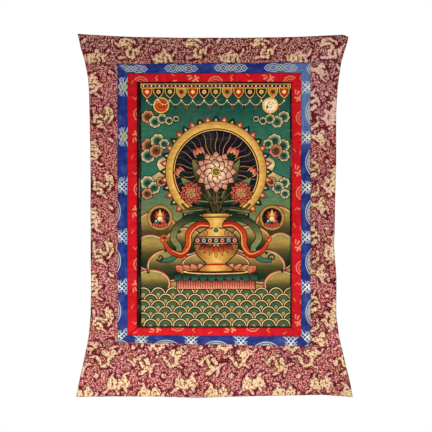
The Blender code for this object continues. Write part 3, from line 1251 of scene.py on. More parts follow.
@dataclass
class Plan:
    """Where a sheet's grid points go: arrays with a row for each row of points, bottom first."""

    x: np.ndarray
    z: np.ndarray
    along: np.ndarray
    across: np.ndarray
    edge: np.ndarray
    hem: np.ndarray
    area: float


def stations(width: float, turned: tuple[float, float]) -> np.ndarray:
    """Shares across a piece: close together at both edges and even between them.

    Args:
        width: The piece's width.
        turned: How wide the cloth is turned under at the start and at the end.

    Returns:
        The shares from 0 to 1.
    """
    start, stop = (np.array([*CLOTH.edge_steps, fold - CLOTH.slope, fold]) for fold in turned)
    stop = width - stop[::-1]
    count = max(1, round((stop[0] - start[-1]) / CLOTH.pitch))
    middle = np.linspace(start[-1], stop[0], count + 1)
    return np.concatenate([start[:-1], middle, stop[1:]]) / width


def laid(x: np.ndarray, z: np.ndarray, edge: np.ndarray) -> np.ndarray:
    """The places of a sheet's points on the hanging, set back where its edge folds under."""
    folded = CLOTH.fold_depth * (1 - smooth(edge / CLOTH.fold_reach))
    return np.stack([x, HANGING.front(x, z) + folded, z], axis=1)


def write(mesh: bpy.types.Mesh, name: str, domain: str, values: np.ndarray) -> None:
    """Gives a mesh a value for each of its points or faces."""
    mesh.attributes.new(name, "FLOAT", domain).data.foreach_set("value", values.astype(np.float32))


def sheet_area(x: np.ndarray, z: np.ndarray) -> float:
    """The area of a grid of points in metres squared, from the diagonals of its cells."""
    a, b = x[1:, 1:] - x[:-1, :-1], z[1:, 1:] - z[:-1, :-1]
    c, d = x[1:, :-1] - x[:-1, 1:], z[1:, :-1] - z[:-1, 1:]
    return float(np.abs(a * d - b * c).sum() / 2)


@dataclass
class Piece(ABC):
    """One sewn piece of the hanging: a thin closed shell of cloth."""

    node: str
    finish: Finish

    @property
    def name(self) -> str:
        """The name of the sheet's object."""
        return f"{self.node}_cloth"

    def dress(self, piece: bpy.types.Object, edge: np.ndarray, hem: np.ndarray | float = 0.0) -> None:
        """Gives an open sheet its materials and its thickness, and ties it to the frame.

        Args:
            piece: The sheet's object, selected.
            edge: Each vertex's distance from the sheet's edge.
            hem: 1 where the nearest edge is a free hem.
        """
        write(piece.data, "edge", "POINT", edge)
        piece.data.materials.clear()
        piece.data.materials.append(self.finish.material())
        piece.data.materials.append(self.finish.material(back=True))
        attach(piece, "root")
        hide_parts(self.node)
        self.thicken(piece, edge, hem)
        piece.data.shade_smooth()

    def thicken(self, piece: bpy.types.Object, edge: np.ndarray, hem: np.ndarray | float) -> None:
        """Makes an open sheet a closed shell, thicker where the cloth is turned under.

        The front stays as it was. The back takes the second material, and the rim the first.

        Args:
            piece: The sheet's object, with its materials.
            edge: Each vertex's distance from the sheet's edge.
            hem: 1 where the nearest edge is a free hem.
        """
        width = np.where(hem > 0.5, CLOTH.hem_width, CLOTH.turned_width)
        inside = 1 - smooth((edge - width + CLOTH.slope) / CLOTH.slope)
        thickness = lerp(CLOTH.single, np.where(hem > 0.5, CLOTH.hem, CLOTH.turned), inside)
        share = np.round((thickness - CLOTH.single) / (CLOTH.hem - CLOTH.single), 3)
        group = piece.vertex_groups.new(name="turned")
        for weight in np.unique(share):
            group.add(np.flatnonzero(share == weight).tolist(), float(weight), "REPLACE")
        solid = piece.modifiers.new("thickness", "SOLIDIFY")
        solid.thickness = CLOTH.hem
        solid.offset = -1.0
        solid.material_offset = 1
        solid.vertex_group = group.name
        solid.thickness_vertex_group = CLOTH.single / CLOTH.hem
        bpy.context.view_layer.objects.active = piece
        bpy.ops.object.modifier_apply(modifier=solid.name)

    @abstractmethod
    def build(self) -> bpy.types.Object:
        """Makes the sheet."""


class Sheet(Piece):
    """A piece of brocade, laid out as a grid."""

    @abstractmethod
    def plan(self) -> Plan:
        """Works out where the sheet's points go."""

    def build(self) -> bpy.types.Object:
        plan = self.plan()
        rows, columns = (count - 1 for count in plan.x.shape)
        bpy.ops.object.select_all(action="DESELECT")
        bpy.ops.mesh.primitive_grid_add(x_subdivisions=columns, y_subdivisions=rows, size=1.0)
        piece = bpy.context.object
        mesh = piece.data
        piece.name = mesh.name = self.name
        flat = np.empty(3 * len(mesh.vertices), dtype=np.float32)
        mesh.vertices.foreach_get("co", flat)
        column, row = np.rint((flat.reshape(-1, 3)[:, :2] + 0.5) * (columns, rows)).astype(int).T
        edge, hem = plan.edge[row, column], plan.hem[row, column]
        place = laid(plan.x[row, column], plan.z[row, column], edge)
        mesh.vertices.foreach_set("co", place.astype(np.float32).ravel())
        corner = np.empty(len(mesh.loops), dtype=np.int32)
        mesh.loops.foreach_get("vertex_index", corner)
        spot = np.stack([plan.along[row, column], plan.across[row, column]], axis=1)[corner]
        layer = mesh.uv_layers[0]
        layer.name = CLOTH_MAP
        layer.uv.foreach_set("vector", spot.astype(np.float32).ravel())
        self.dress(piece, edge, hem)
        LOG.info("%s: %d x %d cells, %.4f m2", piece.name, columns, rows, plan.area)
        return piece


@dataclass
class Strip(Sheet):
    """A mitred strip of the red or the blue round."""

    edge: Edge
    inner: Ring
    outer: Ring
    phase: float = 0.0
    row: float = 0.0
    way: int = 1
    # How much of its width an end slants, and how much of a slant lies square to the cut
    slant: float = 0.7

    def plan(self) -> Plan:
        """Runs between the two seams, with its ends cut along the diagonals of the corners."""
        near, far = self.inner.grown(CLOTH.gap / 2), self.outer.grown(-CLOTH.gap / 2)
        ends = [near.point(self.edge, share) for share in (0.0, 1.0)]
        length = float(math.dist(*ends))
        width = float(math.dist(near.point(self.edge, 0.5), far.point(self.edge, 0.5)))
        run = np.linspace(0.0, 1.0, round(length / CLOTH.pitch) + 1)
        out = stations(width, (CLOTH.turned_width, CLOTH.turned_width))
        if self.edge.upright:
            share, run_share = np.meshgrid(out, run)
        else:
            run_share, share = np.meshgrid(run, out)
        if self.edge in (Edge.BOTTOM, Edge.LEFT):
            share = 1 - share
        start, stop = near.point(self.edge, run_share), far.point(self.edge, run_share)
        x, z = lerp(start[0], stop[0], share), lerp(start[1], stop[1], share)
        along = z if self.edge.upright else x
        off = (0.5 - share) * width
        from_end = np.minimum(run_share, 1 - run_share) * length + self.slant * width * share
        edge = np.minimum(np.minimum(share, 1 - share) * width, self.slant * from_end)
        run_place, row_place = self.way * (along - self.phase), self.row + self.way * off
        return Plan(x, z, run_place, row_place, edge, np.zeros_like(x), length * width)


@dataclass
class SidePanel(Sheet):
    """The maroon panel on the left or on the right, its pattern turned a quarter."""

    edge: Edge
    shift: tuple[float, float]

    def plan(self) -> Plan:
        """Runs from the free hem to the blue seam, between the top and the bottom panel."""
        ring = BLUE_SEAM.grown(CLOTH.gap / 2)
        height = BLUE_SEAM.top - BLUE_SEAM.bottom
        middle = (BLUE_SEAM.top + BLUE_SEAM.bottom) / 2
        width = abs(float(HANGING.outline(self.edge, middle)) - float(ring.point(self.edge, 0.5)[0]))
        up = stations(height, (CLOTH.turned_width, CLOTH.turned_width))
        inward = stations(width, (CLOTH.hem_width, CLOTH.turned_width))
        share, rise = np.meshgrid(inward, up)
        if self.edge is Edge.RIGHT:
            share = share[:, ::-1]
        seam_x, z = ring.point(self.edge, rise)
        x = lerp(HANGING.outline(self.edge, z), seam_x, share)
        bottom = BLUE_SEAM.level(Edge.BOTTOM, x) + CLOTH.gap / 2
        top = BLUE_SEAM.level(Edge.TOP, x) - CLOTH.gap / 2
        z = lerp(bottom, top, rise)
        free, seam = np.abs(x - HANGING.outline(self.edge, z)), np.abs(seam_x - x)
        sewn = np.minimum(seam, np.minimum(z - bottom, top - z))
        hem = (free <= sewn).astype(float)
        area = sheet_area(x, z)
        return Plan(x, z, -z - self.shift[0], x - self.shift[1], np.minimum(free, sewn), hem, area)


@dataclass
class EndPanel(Sheet):
    """The full-width maroon panel at the top or the bottom, with a free hem on three sides."""

    end: Edge
    shift: tuple[float, float]
    # How often the points are set anew, as the outline's reach goes by their heights
    settlings: int = 4

    def plan(self) -> Plan:
        """Runs from the blue seam to the free edge, across the whole width."""
        ring = BLUE_SEAM.grown(CLOTH.gap / 2)
        free_edge = HANGING.top_edge if self.end is Edge.TOP else HANGING.bottom_edge
        depth = abs(float(free_edge(0.0)) - float(ring.level(self.end, 0.0)))
        across = stations(2 * HANGING.half_width, (CLOTH.hem_width, CLOTH.hem_width))
        inward = stations(depth, (CLOTH.hem_width, CLOTH.turned_width))
        if self.end is Edge.TOP:
            inward = inward[::-1]
        share, depth_share = np.meshgrid(across, inward)
        x = lerp(-HANGING.half_width, HANGING.half_width, share)
        for _ in range(self.settlings):
            z = lerp(free_edge(x), ring.level(self.end, x), depth_share)
            left, right = HANGING.outline(Edge.LEFT, z), HANGING.outline(Edge.RIGHT, z)
            x = lerp(left, right, share)
        free = np.minimum(np.minimum(x - left, right - x), np.abs(z - free_edge(x)))
        seam = np.abs(z - ring.level(self.end, x))
        hem = (free <= seam).astype(float)
        area = sheet_area(x, z)
        return Plan(x, z, x - self.shift[0], z - self.shift[1], np.minimum(free, seam), hem, area)


# The painting's shapes, in millimetres


Spot = tuple[float, float]
Outline = np.ndarray


def spread(*spots: Spot) -> Outline:
    """Points as an array."""
    return np.array(spots, dtype=float)


def polar(u: float, v: float, reach: float, heading: float) -> Spot:
    """The point at a distance from another, by a heading in degrees from the right."""
    at = math.radians(heading)
    return u + reach * math.cos(at), v + reach * math.sin(at)


def box(left: float, right: float, bottom: float, top: float) -> Outline:
    """A rectangle."""
    return spread((left, bottom), (right, bottom), (right, top), (left, top))


def oval(u: float, v: float, reach_u: float, reach_v: float, count: int = 36) -> Outline:
    """An ellipse about a point."""
    turn = np.arange(count) / count * math.tau
    return np.stack([u + reach_u * np.cos(turn), v + reach_v * np.sin(turn)], axis=1)


def disc(u: float, v: float, radius: float, count: int = 0) -> Outline:
    """A circle about a point, with more points the larger it is."""
    return oval(u, v, radius, radius, count or int(np.clip(radius * 1.7, 10, 110)))


def lobed(u: float, v: float, radius: float, lobes: int, depth: float, turn: float = 0.0) -> Outline:
    """A round flower or cloud with a number of scallops."""
    angle = np.arange(lobes * 8) / (lobes * 8) * math.tau
    reach = radius * (1 - depth + depth * np.abs(np.sin(lobes * (angle - turn) / 2)) ** 0.7)
    return np.stack([u + reach * np.cos(angle), v + reach * np.sin(angle)], axis=1)


def petal(
    u: float, v: float, heading: float, length: float, width: float, waist: float = 0.62, count: int = 9
) -> Outline:
    """A petal or leaf with a pointed tip.

    Args:
        u: Its base, across.
        v: Its base, up.
        heading: The way it points, in degrees from the right.
        length: Its length.
        width: Its greatest width.
        waist: Less than 1 moves the greatest width toward the base.
        count: How many points each side has.

    Returns:
        The outline, whose tip is the last point of its first side.
    """
    share = np.linspace(0.0, 1.0, count)
    half = width / 2 * np.sin(math.pi * share**waist) ** 0.72 * (1 - 0.25 * share**4)
    upper = np.stack([share * length, half], axis=1)
    lower = np.stack([share * length, -half], axis=1)[-2:0:-1]
    cosine, sine = math.cos(math.radians(heading)), math.sin(math.radians(heading))
    return np.concatenate([upper, lower]) @ np.array([[cosine, sine], [-sine, cosine]]) + (u, v)


def smoothed(points: Sequence[Spot], steps: int = 6) -> Outline:
    """A smooth line through points, with a number of steps between neighbours."""
    given = np.array(points, dtype=float)
    held = np.concatenate([[2 * given[0] - given[1]], given, [2 * given[-1] - given[-2]]])
    share = np.arange(steps)[:, None] / steps
    line = []
    for first, start, stop, last in zip(held, held[1:], held[2:], held[3:]):
        line.append(
            start
            + 0.5 * share * (stop - first)
            + share**2 * (first - 2.5 * start + 2 * stop - 0.5 * last)
            + share**3 * (-0.5 * first + 1.5 * start - 1.5 * stop + 0.5 * last)
        )
    return np.concatenate([*line, given[-1:]])


def unit(arrows: np.ndarray) -> np.ndarray:
    """Arrows brought to a length of 1."""
    return arrows / (np.linalg.norm(arrows, axis=1, keepdims=True) + 1e-9)


def ribbon(points: Sequence[Spot], widths: Sequence[float], steps: int = 6) -> Outline:
    """A band along a smooth line, with a width for each of its points."""
    line = smoothed(points, steps)
    place = np.linspace(0.0, len(widths) - 1.0, len(line))
    half = np.interp(place, np.arange(len(widths)), np.array(widths) / 2)[:, None]
    run = unit(np.gradient(line, axis=0))
    side = np.stack([-run[:, 1], run[:, 0]], axis=1)
    return np.concatenate([line + side * half, (line - side * half)[::-1]])


def curl(
    u: float, v: float, radius: float, turns: float, start: float, width: float, way: int = 1
) -> Outline:
    """A curling line that winds in to a point.

    Args:
        u: The middle, across.
        v: The middle, up.
        radius: How far out it starts.
        turns: How many turns it makes.
        start: The angle in degrees at which it starts.
        width: Its width at the start.
        way: 1 to wind leftward, -1 to wind rightward.

    Returns:
        The outline.
    """
    share = np.linspace(0.0, 1.0, max(6, int(turns * 11)))
    angle = math.radians(start) + way * share * turns * math.tau
    reach = radius * (1 - 0.86 * share)
    points = np.stack([u + reach * np.cos(angle), v + reach * np.sin(angle)], axis=1)
    return ribbon(points, (width, width * 0.8, width * 0.4), steps=1)


def both_sides(points: Sequence[Spot], steps: int = 5) -> Outline:
    """A shape with two like halves, from a smooth line down its right half."""
    right = smoothed(points, steps)
    return np.concatenate([right, right[::-1] * (-1.0, 1.0)])


def grown(outline: Outline, by: float) -> Outline:
    """An outline moved outward by a distance, with its sharp corners cut short."""
    before, after = np.roll(outline, 1, axis=0), np.roll(outline, -1, axis=0)
    run_in, run_out = unit(outline - before), unit(after - outline)
    area = float((before[:, 0] * outline[:, 1] - outline[:, 0] * before[:, 1]).sum())
    run = run_in + run_out
    side = unit(np.stack([run[:, 1], -run[:, 0]], axis=1))
    cosine = np.clip((side * np.stack([run_in[:, 1], -run_in[:, 0]], axis=1)).sum(axis=1), 0.45, 1.0)
    return outline + side * (math.copysign(by, by * area) / cosine)[:, None]


@dataclass(frozen=True)
class Wash:
    """Colours that run into each other along a line, or outward from its start."""

    start: Spot
    stop: Spot
    dyes: tuple[Dye, ...]
    outward: bool = False

    def tint(self, points: np.ndarray) -> np.ndarray:
        """The colour at each point, in linear values."""
        run = np.array(self.stop) - self.start
        away = points - self.start
        if self.outward:
            share = np.linalg.norm(away, axis=1) / np.linalg.norm(run)
        else:
            share = away @ run / (run @ run)
        place = np.clip(share, 0, 1) * (len(self.dyes) - 1)
        table = np.array([dye.linear for dye in self.dyes])
        return np.stack([np.interp(place, range(len(table)), part) for part in table.T], axis=1)


def falling(top: float, bottom: float, *dyes: Dye) -> Wash:
    """A wash that runs down from one height to another."""
    return Wash((0, top), (0, bottom), dyes)


def glowing(u: float, v: float, reach: float, *dyes: Dye) -> Wash:
    """A wash that runs outward from a point."""
    return Wash((u, v), (u + reach, v), dyes, outward=True)


@dataclass(frozen=True)
class Area:
    """One painted area: its outline, its colour and how much of it is gilding."""

    outline: Outline
    paint: Wash | Dye
    gilt: float = 0.0

    def holds(self, points: np.ndarray) -> np.ndarray:
        """Which points are inside the outline."""
        low, high = self.outline.min(axis=0), self.outline.max(axis=0)
        held = np.flatnonzero(((points >= low) & (points <= high)).all(axis=1))
        inside = np.zeros(len(points), dtype=bool)
        if not len(held):
            return inside
        u, v = points[held, 0][:, None], points[held, 1][:, None]
        start, stop = self.outline, np.roll(self.outline, -1, axis=0)
        crosses = (start[:, 1] > v) != (stop[:, 1] > v)
        rise = stop[:, 1] - start[:, 1]
        rise = np.where(np.abs(rise) < 1e-12, 1e-12, rise)
        at = start[:, 0] + (v - start[:, 1]) / rise * (stop[:, 0] - start[:, 0])
        way = np.where(stop[:, 1] > start[:, 1], 1, -1)
        inside[held] = ((crosses & (u < at)) * way).sum(axis=1) != 0
        return inside

    def tint(self, points: np.ndarray) -> np.ndarray:
        """The colour at each point, in linear values."""
        if isinstance(self.paint, Wash):
            return self.paint.tint(points)
        return np.tile(np.array(self.paint.linear), (len(points), 1))


class Pigment:
    """The painter's colours."""

    maroon = Dye(52, 12, 12)
    black = Dye(18, 12, 12)
    line = Dye(24, 13, 11)
    deep_teal = Dye(18, 66, 62)
    teal = Dye(62, 122, 100)
    sage = Dye(152, 148, 92)
    olive = Dye(182, 152, 88)
    moss = Dye(96, 88, 46)
    leaf = Dye(28, 56, 36)
    leaf_deep = Dye(18, 32, 20)
    navy = Dye(18, 20, 42)
    indigo = Dye(34, 40, 84)
    cream = Dye(240, 212, 162)
    ivory = Dye(255, 234, 196)
    gold = Dye(242, 198, 112)
    ochre = Dye(198, 146, 72)
    umber = Dye(138, 92, 50)
    orange = Dye(206, 98, 44)
    vermilion = Dye(186, 44, 28)
    wine = Dye(96, 20, 24)
    rose = Dye(196, 92, 78)
    blush = Dye(236, 164, 128)


# The painting


@dataclass
class Painting:
    """A lotus bouquet in a vase before a round halo, above waves and below a canopy.

    Places are in millimetres from the middle of the canvas, across and up.
    """

    half_width: float = 155.0
    half_height: float = 246.0
    middle: float = 3.5
    grain: float = 4.0
    line_weight: float = 1.5
    # The limits of what is painted within the dark band
    left: float = -145.9
    right: float = 151.4
    foot: float = -243.1
    head: float = 241.0
    areas: list[Area] = field(default_factory=list)

    def fill(self, outline: Outline, paint: Wash | Dye, gilt: float = 0.0) -> None:
        """Paints an area over what is there."""
        self.areas.append(Area(outline, paint, gilt))

    def lined(
        self, outline: Outline, paint: Wash | Dye, width: float, line: Dye = Pigment.line,
        gilt: float = 0.0, line_gilt: float = 0.0,
    ) -> None:
        """Paints an area with a line of a width round it, either of which may be gilded."""
        self.fill(grown(outline, width * self.line_weight), line, line_gilt)
        self.fill(outline, paint, gilt)

    def rings(self, u: float, v: float, *rows: tuple[float, Wash | Dye, float]) -> None:
        """Paints discs one on another, each with its radius, its colour and its gilding."""
        for radius, paint, gilt in rows:
            self.fill(disc(u, v, radius), paint, gilt)

    def beside(self, side: int, points: Sequence[Spot]) -> list[Spot]:
        """The points on one side of the middle line that are given for the right side."""
        return [(self.middle + side * u, v) for u, v in points]

    def kept(self, outline: Outline, past: float = 0.0) -> Outline:
        """An outline held within the picture's limits, or a little past them."""
        return np.clip(outline, (self.left - past, self.foot - past), (self.right + past, self.head))

    def paint(self) -> list[Area]:
        """Paints everything, from the back to the front."""
        for part in (
            self.border, self.land, self.waves, self.clouds, self.halo, self.leaves,
            self.seat, self.ribbons, self.vase, self.blooms, self.jewels, self.canopy,
        ):
            part()
        return self.areas

    def border(self) -> None:
        """The dark band round the picture, wider on the left, and the sky."""
        self.fill(box(-156, 156, -247, 247), Pigment.maroon)
        self.fill(box(-149.5, 153.0, -244.5, 243.5), Pigment.black)
        self.fill(box(-146.0, 151.5, -243.2, 241.0), falling(
            241, -243, Pigment.deep_teal, Pigment.teal, Pigment.teal,
            Pigment.sage, Pigment.olive, Pigment.moss,
        ))

    def land(self) -> None:
        """Rounded hills on both sides, edged in rose, with tufts of grass."""
        hills = (
            (-118, -52, 46, 40), (124, -44, 44, 44), (-60, -74, 40, 30), (72, -70, 42, 30),
            (-128, -96, 40, 38), (132, -94, 34, 40), (-92, -122, 44, 34), (98, -124, 46, 36),
            (3, -120, 70, 30), (-126, -158, 40, 30), (134, -160, 36, 30),
        )
        for u, v, reach_u, reach_v in hills:
            grass = falling(
                v + reach_v, v - reach_v * 0.5, Pigment.sage, Pigment.olive, Pigment.moss, Pigment.leaf
            )
            self.fill(self.kept(oval(u, v, reach_u, reach_v, 44), 0.1), Pigment.line)
            for inset, paint in ((1.1, Pigment.rose), (3.4, Pigment.cream), (4.6, grass)):
                self.fill(self.kept(oval(u, v, reach_u - inset, reach_v - inset, 44)), paint)
        tufts = (
            (-122, -30), (-98, -96), (120, -20), (104, -100),
            (-132, -138), (136, -136), (-70, -58), (86, -54),
        )
        for u, v in tufts:
            for heading in (60, 78, 98, 118):
                self.fill(petal(u, v, heading, 9, 1.9), Pigment.leaf)

    def waves(self) -> None:
        """Rows of wave scales at the bottom, each with a pale rim."""
        shallow = -176
        water = falling(shallow, -243, Pigment.leaf, Pigment.moss)
        self.fill(box(self.left, self.right, self.foot, shallow), water)
        pitch, drop = 29.5, 12.5
        for row in range(6):
            for step in range(11):
                u = -142 + pitch * step + (pitch / 2 if row % 2 else 0)
                for radius, dye in (
                    (16.2, Pigment.line), (14.4, Pigment.cream), (12.8, Pigment.line),
                    (11.6, Pigment.moss), (8.6, Pigment.teal), (5.4, Pigment.line), (4.0, Pigment.olive),
                ):
                    self.scale(u, -180 - drop * row, radius, dye)

    def scale(self, u: float, v: float, radius: float, dye: Dye) -> None:
        """The upper half of a disc, kept within the picture."""
        turn = np.linspace(0.0, math.pi, max(7, int(radius)))
        arc = np.stack([u + radius * np.cos(turn), v + radius * np.sin(turn)], axis=1)
        low = max(v - 6, -243)
        outline = self.kept(np.concatenate([arc, spread((u - radius, low), (u + radius, low))]))
        if np.ptp(outline[:, 0]) > 2:
            self.fill(outline, dye)

    def puff(self, u: float, v: float, radius: float, way: int) -> None:
        """One scalloped cloud with a curl in it."""
        warm, cool = (Pigment.umber, Pigment.blush), (Pigment.teal, Pigment.cream)
        pale = glowing(u, v, radius, Pigment.line, *(warm if round(radius) % 2 else cool))
        self.lined(lobed(u, v, radius, 7, 0.16, 0.3 * way), pale, 1.1)
        self.fill(curl(u, v, radius * 0.66, 1.4, 90 + 60 * way, 1.7, way), Pigment.leaf)

    def clouds(self) -> None:
        """Banks of curling clouds on both sides, with the sun and the moon above them."""
        trail = ((142, 44), (122, 52), (106, 66), (112, 84), (96, 96), (84, 112))
        mist = falling(44, 112, Pigment.sage, Pigment.cream, Pigment.teal)
        puffs = (
            (134, 118, 15), (117, 128, 14), (136, 98, 14), (120, 108, 13), (104, 122, 10),
            (137, 44, 14), (124, 34, 12), (110, 46, 9), (138, 22, 11),
            (136, 176, 13), (122, 166, 12), (108, 172, 10), (94, 168, 8), (80, 172, 6),
        )
        for side, limit in ((-1, 153.0), (1, 147.5)):
            self.lined(ribbon(self.beside(side, trail), (16, 15, 13, 11, 8, 2)), mist, 1.1)
            for u, v, radius in puffs:
                self.puff(self.middle + side * u, v, min(radius, limit - u), side)
        sun, moon, height = -106, 112, 199
        for u, ring, face, face_radius in (
            (sun, Pigment.vermilion, Pigment.orange, 11.6), (moon, Pigment.cream, Pigment.ivory, 11.0),
        ):
            self.rings(
                u, height, (17.0, Pigment.line, 0), (16.0, Pigment.gold, 1),
                (13.4, ring, 0), (face_radius, face, 0),
            )
        for u, dye in ((sun, Pigment.wine), (moon, Pigment.umber)):
            self.fill(curl(u, height, 8, 1.5, 20, 1.4), dye)

    def halo(self) -> None:
        """A round halo: flames, an ochre ring, and gold rays on navy."""
        u, v = self.middle, 66.0
        for turn in range(40):
            heading = 9 * turn
            dye = (Pigment.leaf, Pigment.rose, Pigment.indigo, Pigment.orange)[turn % 4]
            base = polar(u, v, 97, heading)
            self.lined(petal(*base, heading, 15, 13, 0.5), dye, 0.8)
            self.fill(petal(*base, heading, 10, 6, 0.5), Pigment.cream if turn % 2 else Pigment.gold, 0.4)
        rim = glowing(u, v, 101, *[Pigment.umber] * 6, Pigment.gold, Pigment.ochre)
        night = glowing(u, v, 83, Pigment.indigo, Pigment.navy, Pigment.navy)
        self.rings(
            u, v, (102, Pigment.line, 0), (100.5, rim, 0.8), (87, Pigment.wine, 0),
            (84.5, Pigment.gold, 1.0), (83, night, 0),
        )
        sway = math.degrees(0.035)
        for turn in range(36):
            line = [
                polar(u, v, reach, 10 * turn + sway * math.sin(reach / 6.5))
                for reach in (34, 42, 50, 58, 66, 74, 80)
            ]
            dye = Pigment.ochre if turn % 2 else Pigment.umber
            self.fill(ribbon(line, (1.5, 1.3, 1.1, 0.7), steps=2), dye, 0.9)

    def leaves(self) -> None:
        """Broad leaves and stems that fan out behind the blooms."""
        for side in (-1, 1):
            for u, v, heading, length, width in (
                (8, 2, 158, 66, 26), (10, 0, 138, 82, 28), (8, 10, 116, 90, 26), (4, 4, 172, 50, 20),
                (12, -8, 186, 58, 18),
            ):
                base = self.middle + side * u
                angle = heading if side < 0 else 180 - heading
                blade = petal(base, v, angle, length, width, 0.75, 13)
                tint = Wash((base, v), tuple(blade[12]), (Pigment.leaf_deep, Pigment.leaf, Pigment.sage))
                self.lined(blade, tint, 0.9)
                self.fill(petal(base, v, angle, length * 0.9, 2.2, 0.6), Pigment.sage)
            for points in (
                ((4, -18), (14, 6), (30, 26), (44, 36)),
                ((2, -18), (4, 20), (2, 60)),
                ((6, -18), (30, -6), (56, -8), (68, 2)),
                ((3, -18), (20, 30), (30, 66), (28, 92)),
            ):
                self.lined(ribbon(self.beside(side, points), (3.2, 2.6, 2.2)), Pigment.moss, 0.7)

    def bloom(self, u: float, v: float, size: float, tip: Dye, heart: Dye) -> None:
        """A lotus flower seen from above, in three rounds of petals.

        Args:
            u: Its middle, across.
            v: Its middle, up.
            size: Its reach.
            tip: The colour of its petals' tips.
            heart: The colour of its petals near its middle.
        """
        for count, reach, width, turn in ((12, 1.0, 0.46, 0), (12, 0.82, 0.42, 15), (8, 0.60, 0.40, 8)):
            wash = glowing(u, v, size * reach, heart, heart, tip)
            for step in range(count):
                heading = turn + step * 360 / count
                base = polar(u, v, 0.12 * size, heading)
                blade = petal(*base, heading, size * (reach - 0.12), size * width, 0.85, 8)
                self.lined(blade, wash, 0.55 + size * 0.012)
                if size > 20:
                    self.fill(petal(*base, heading, size * (reach - 0.3), size * 0.05, 0.8, 5), tip)
        self.lined(disc(u, v, size * 0.23), Pigment.gold, 0.8, gilt=1.0)
        self.fill(disc(u, v, size * 0.17), Pigment.leaf)
        for step in range(6):
            seed = polar(u, v, size * 0.10, 60 * step)
            self.fill(disc(*seed, size * 0.028, 6), Pigment.gold)
        self.fill(disc(u, v, size * 0.035, 6), Pigment.gold)

    def bud(self, u: float, v: float, heading: float, size: float) -> None:
        """A closed lotus bud with a green cup."""
        for lean in (-22, 22, 0):
            blade = petal(u, v, heading + lean, size, size * 0.48, 0.8, 8)
            tint = Wash((u, v), tuple(blade[7]), (Pigment.ivory, Pigment.blush, Pigment.vermilion))
            self.lined(blade, tint, 0.7)
        for lean in (-34, 34, 0):
            self.lined(petal(u, v, heading + lean, size * 0.5, size * 0.3, 0.8, 7), Pigment.leaf, 0.6)

    def blooms(self) -> None:
        """One large lotus in the halo, two smaller ones beside it, and buds."""
        for side in (-1, 1):
            self.bud(self.middle + side * 29, 92, 90 - side * 22, 26)
            self.bud(self.middle + side * 64, 58, 90 - side * 48, 22)
            self.bloom(self.middle + side * 50, 24, 23, Pigment.vermilion, Pigment.blush)
        self.bloom(self.middle, 66, 42, Pigment.rose, Pigment.ivory)

    def seat(self) -> None:
        """A lotus seat with a rose shade below it."""
        u = self.middle
        shade = falling(-146, -168, Pigment.wine, Pigment.rose, Pigment.blush)
        self.lined(box(u - 78, u + 78, -168, -146), shade, 1.2)
        for step in range(32):
            place = u - 76 + step * 4.9
            self.fill(box(place, place + 1.3, -167, -150), Pigment.wine)
        self.fill(oval(u, -143, 85, 9, 60), Pigment.line)
        self.lined(oval(u, -140, 84, 9, 60), Pigment.umber, 1.0)
        self.fill(oval(u, -137, 81, 8, 60), falling(-130, -146, Pigment.ochre, Pigment.gold), 0.6)
        rosy = falling(-142, -118, Pigment.wine, Pigment.rose, Pigment.blush)
        for step in range(11):
            spot = (step - 5) / 5
            base, heading = u + 62 * spot, 90 - 52 * spot
            self.lined(petal(base, -140 + 3 * spot * spot, heading, 24, 17, 0.8, 8), rosy, 0.9)
            self.fill(petal(base, -139 + 3 * spot * spot, heading, 15, 8, 0.8, 6), Pigment.ochre, 0.5)
        green = falling(-137, -154, Pigment.leaf_deep, Pigment.teal)
        for step in range(10):
            spot = (step - 4.5) / 4.5
            self.lined(petal(u + 72 * spot, -137, 270 + 34 * spot, 17, 16, 0.8, 8), green, 0.9)
        self.lined(oval(u, -134, 66, 5, 50), Pigment.gold, 1.0, gilt=1.0)
        self.fill(oval(u, -133.4, 60, 3.6, 44), Pigment.wine)

    def ribbons(self) -> None:
        """Silk ribbons that leave the vase's neck and curl at both sides."""
        back = ((10, -40), (44, -26), (74, -40), (86, -66), (74, -88), (88, -108), (110, -112))
        front = ((8, -42), (34, -40), (54, -56), (56, -82), (70, -100), (92, -92), (104, -74))
        vein = ((14, -42), (34, -42), (50, -58), (53, -82), (68, -98), (88, -92))
        green = falling(-26, -112, Pigment.leaf, Pigment.sage, Pigment.teal)
        red = falling(-40, -104, Pigment.vermilion, Pigment.orange, Pigment.vermilion)
        for side in (-1, 1):
            self.lined(ribbon(self.beside(side, back), (10, 13, 12, 11, 9, 6)), green, 1.0)
            self.lined(ribbon(self.beside(side, front), (9, 12, 11, 11, 9, 5)), red, 1.0)
            self.fill(ribbon(self.beside(side, vein), (1.2, 1.6, 1.6, 1.4, 1.2)), Pigment.gold, 1.0)
            self.fill(curl(self.middle + side * 103, -68, 9, 1.2, 250, 4.4, side), Pigment.orange)
            self.fill(curl(self.middle + side * 112, -106, 8, 1.2, 200, 4.0, -side), Pigment.leaf)

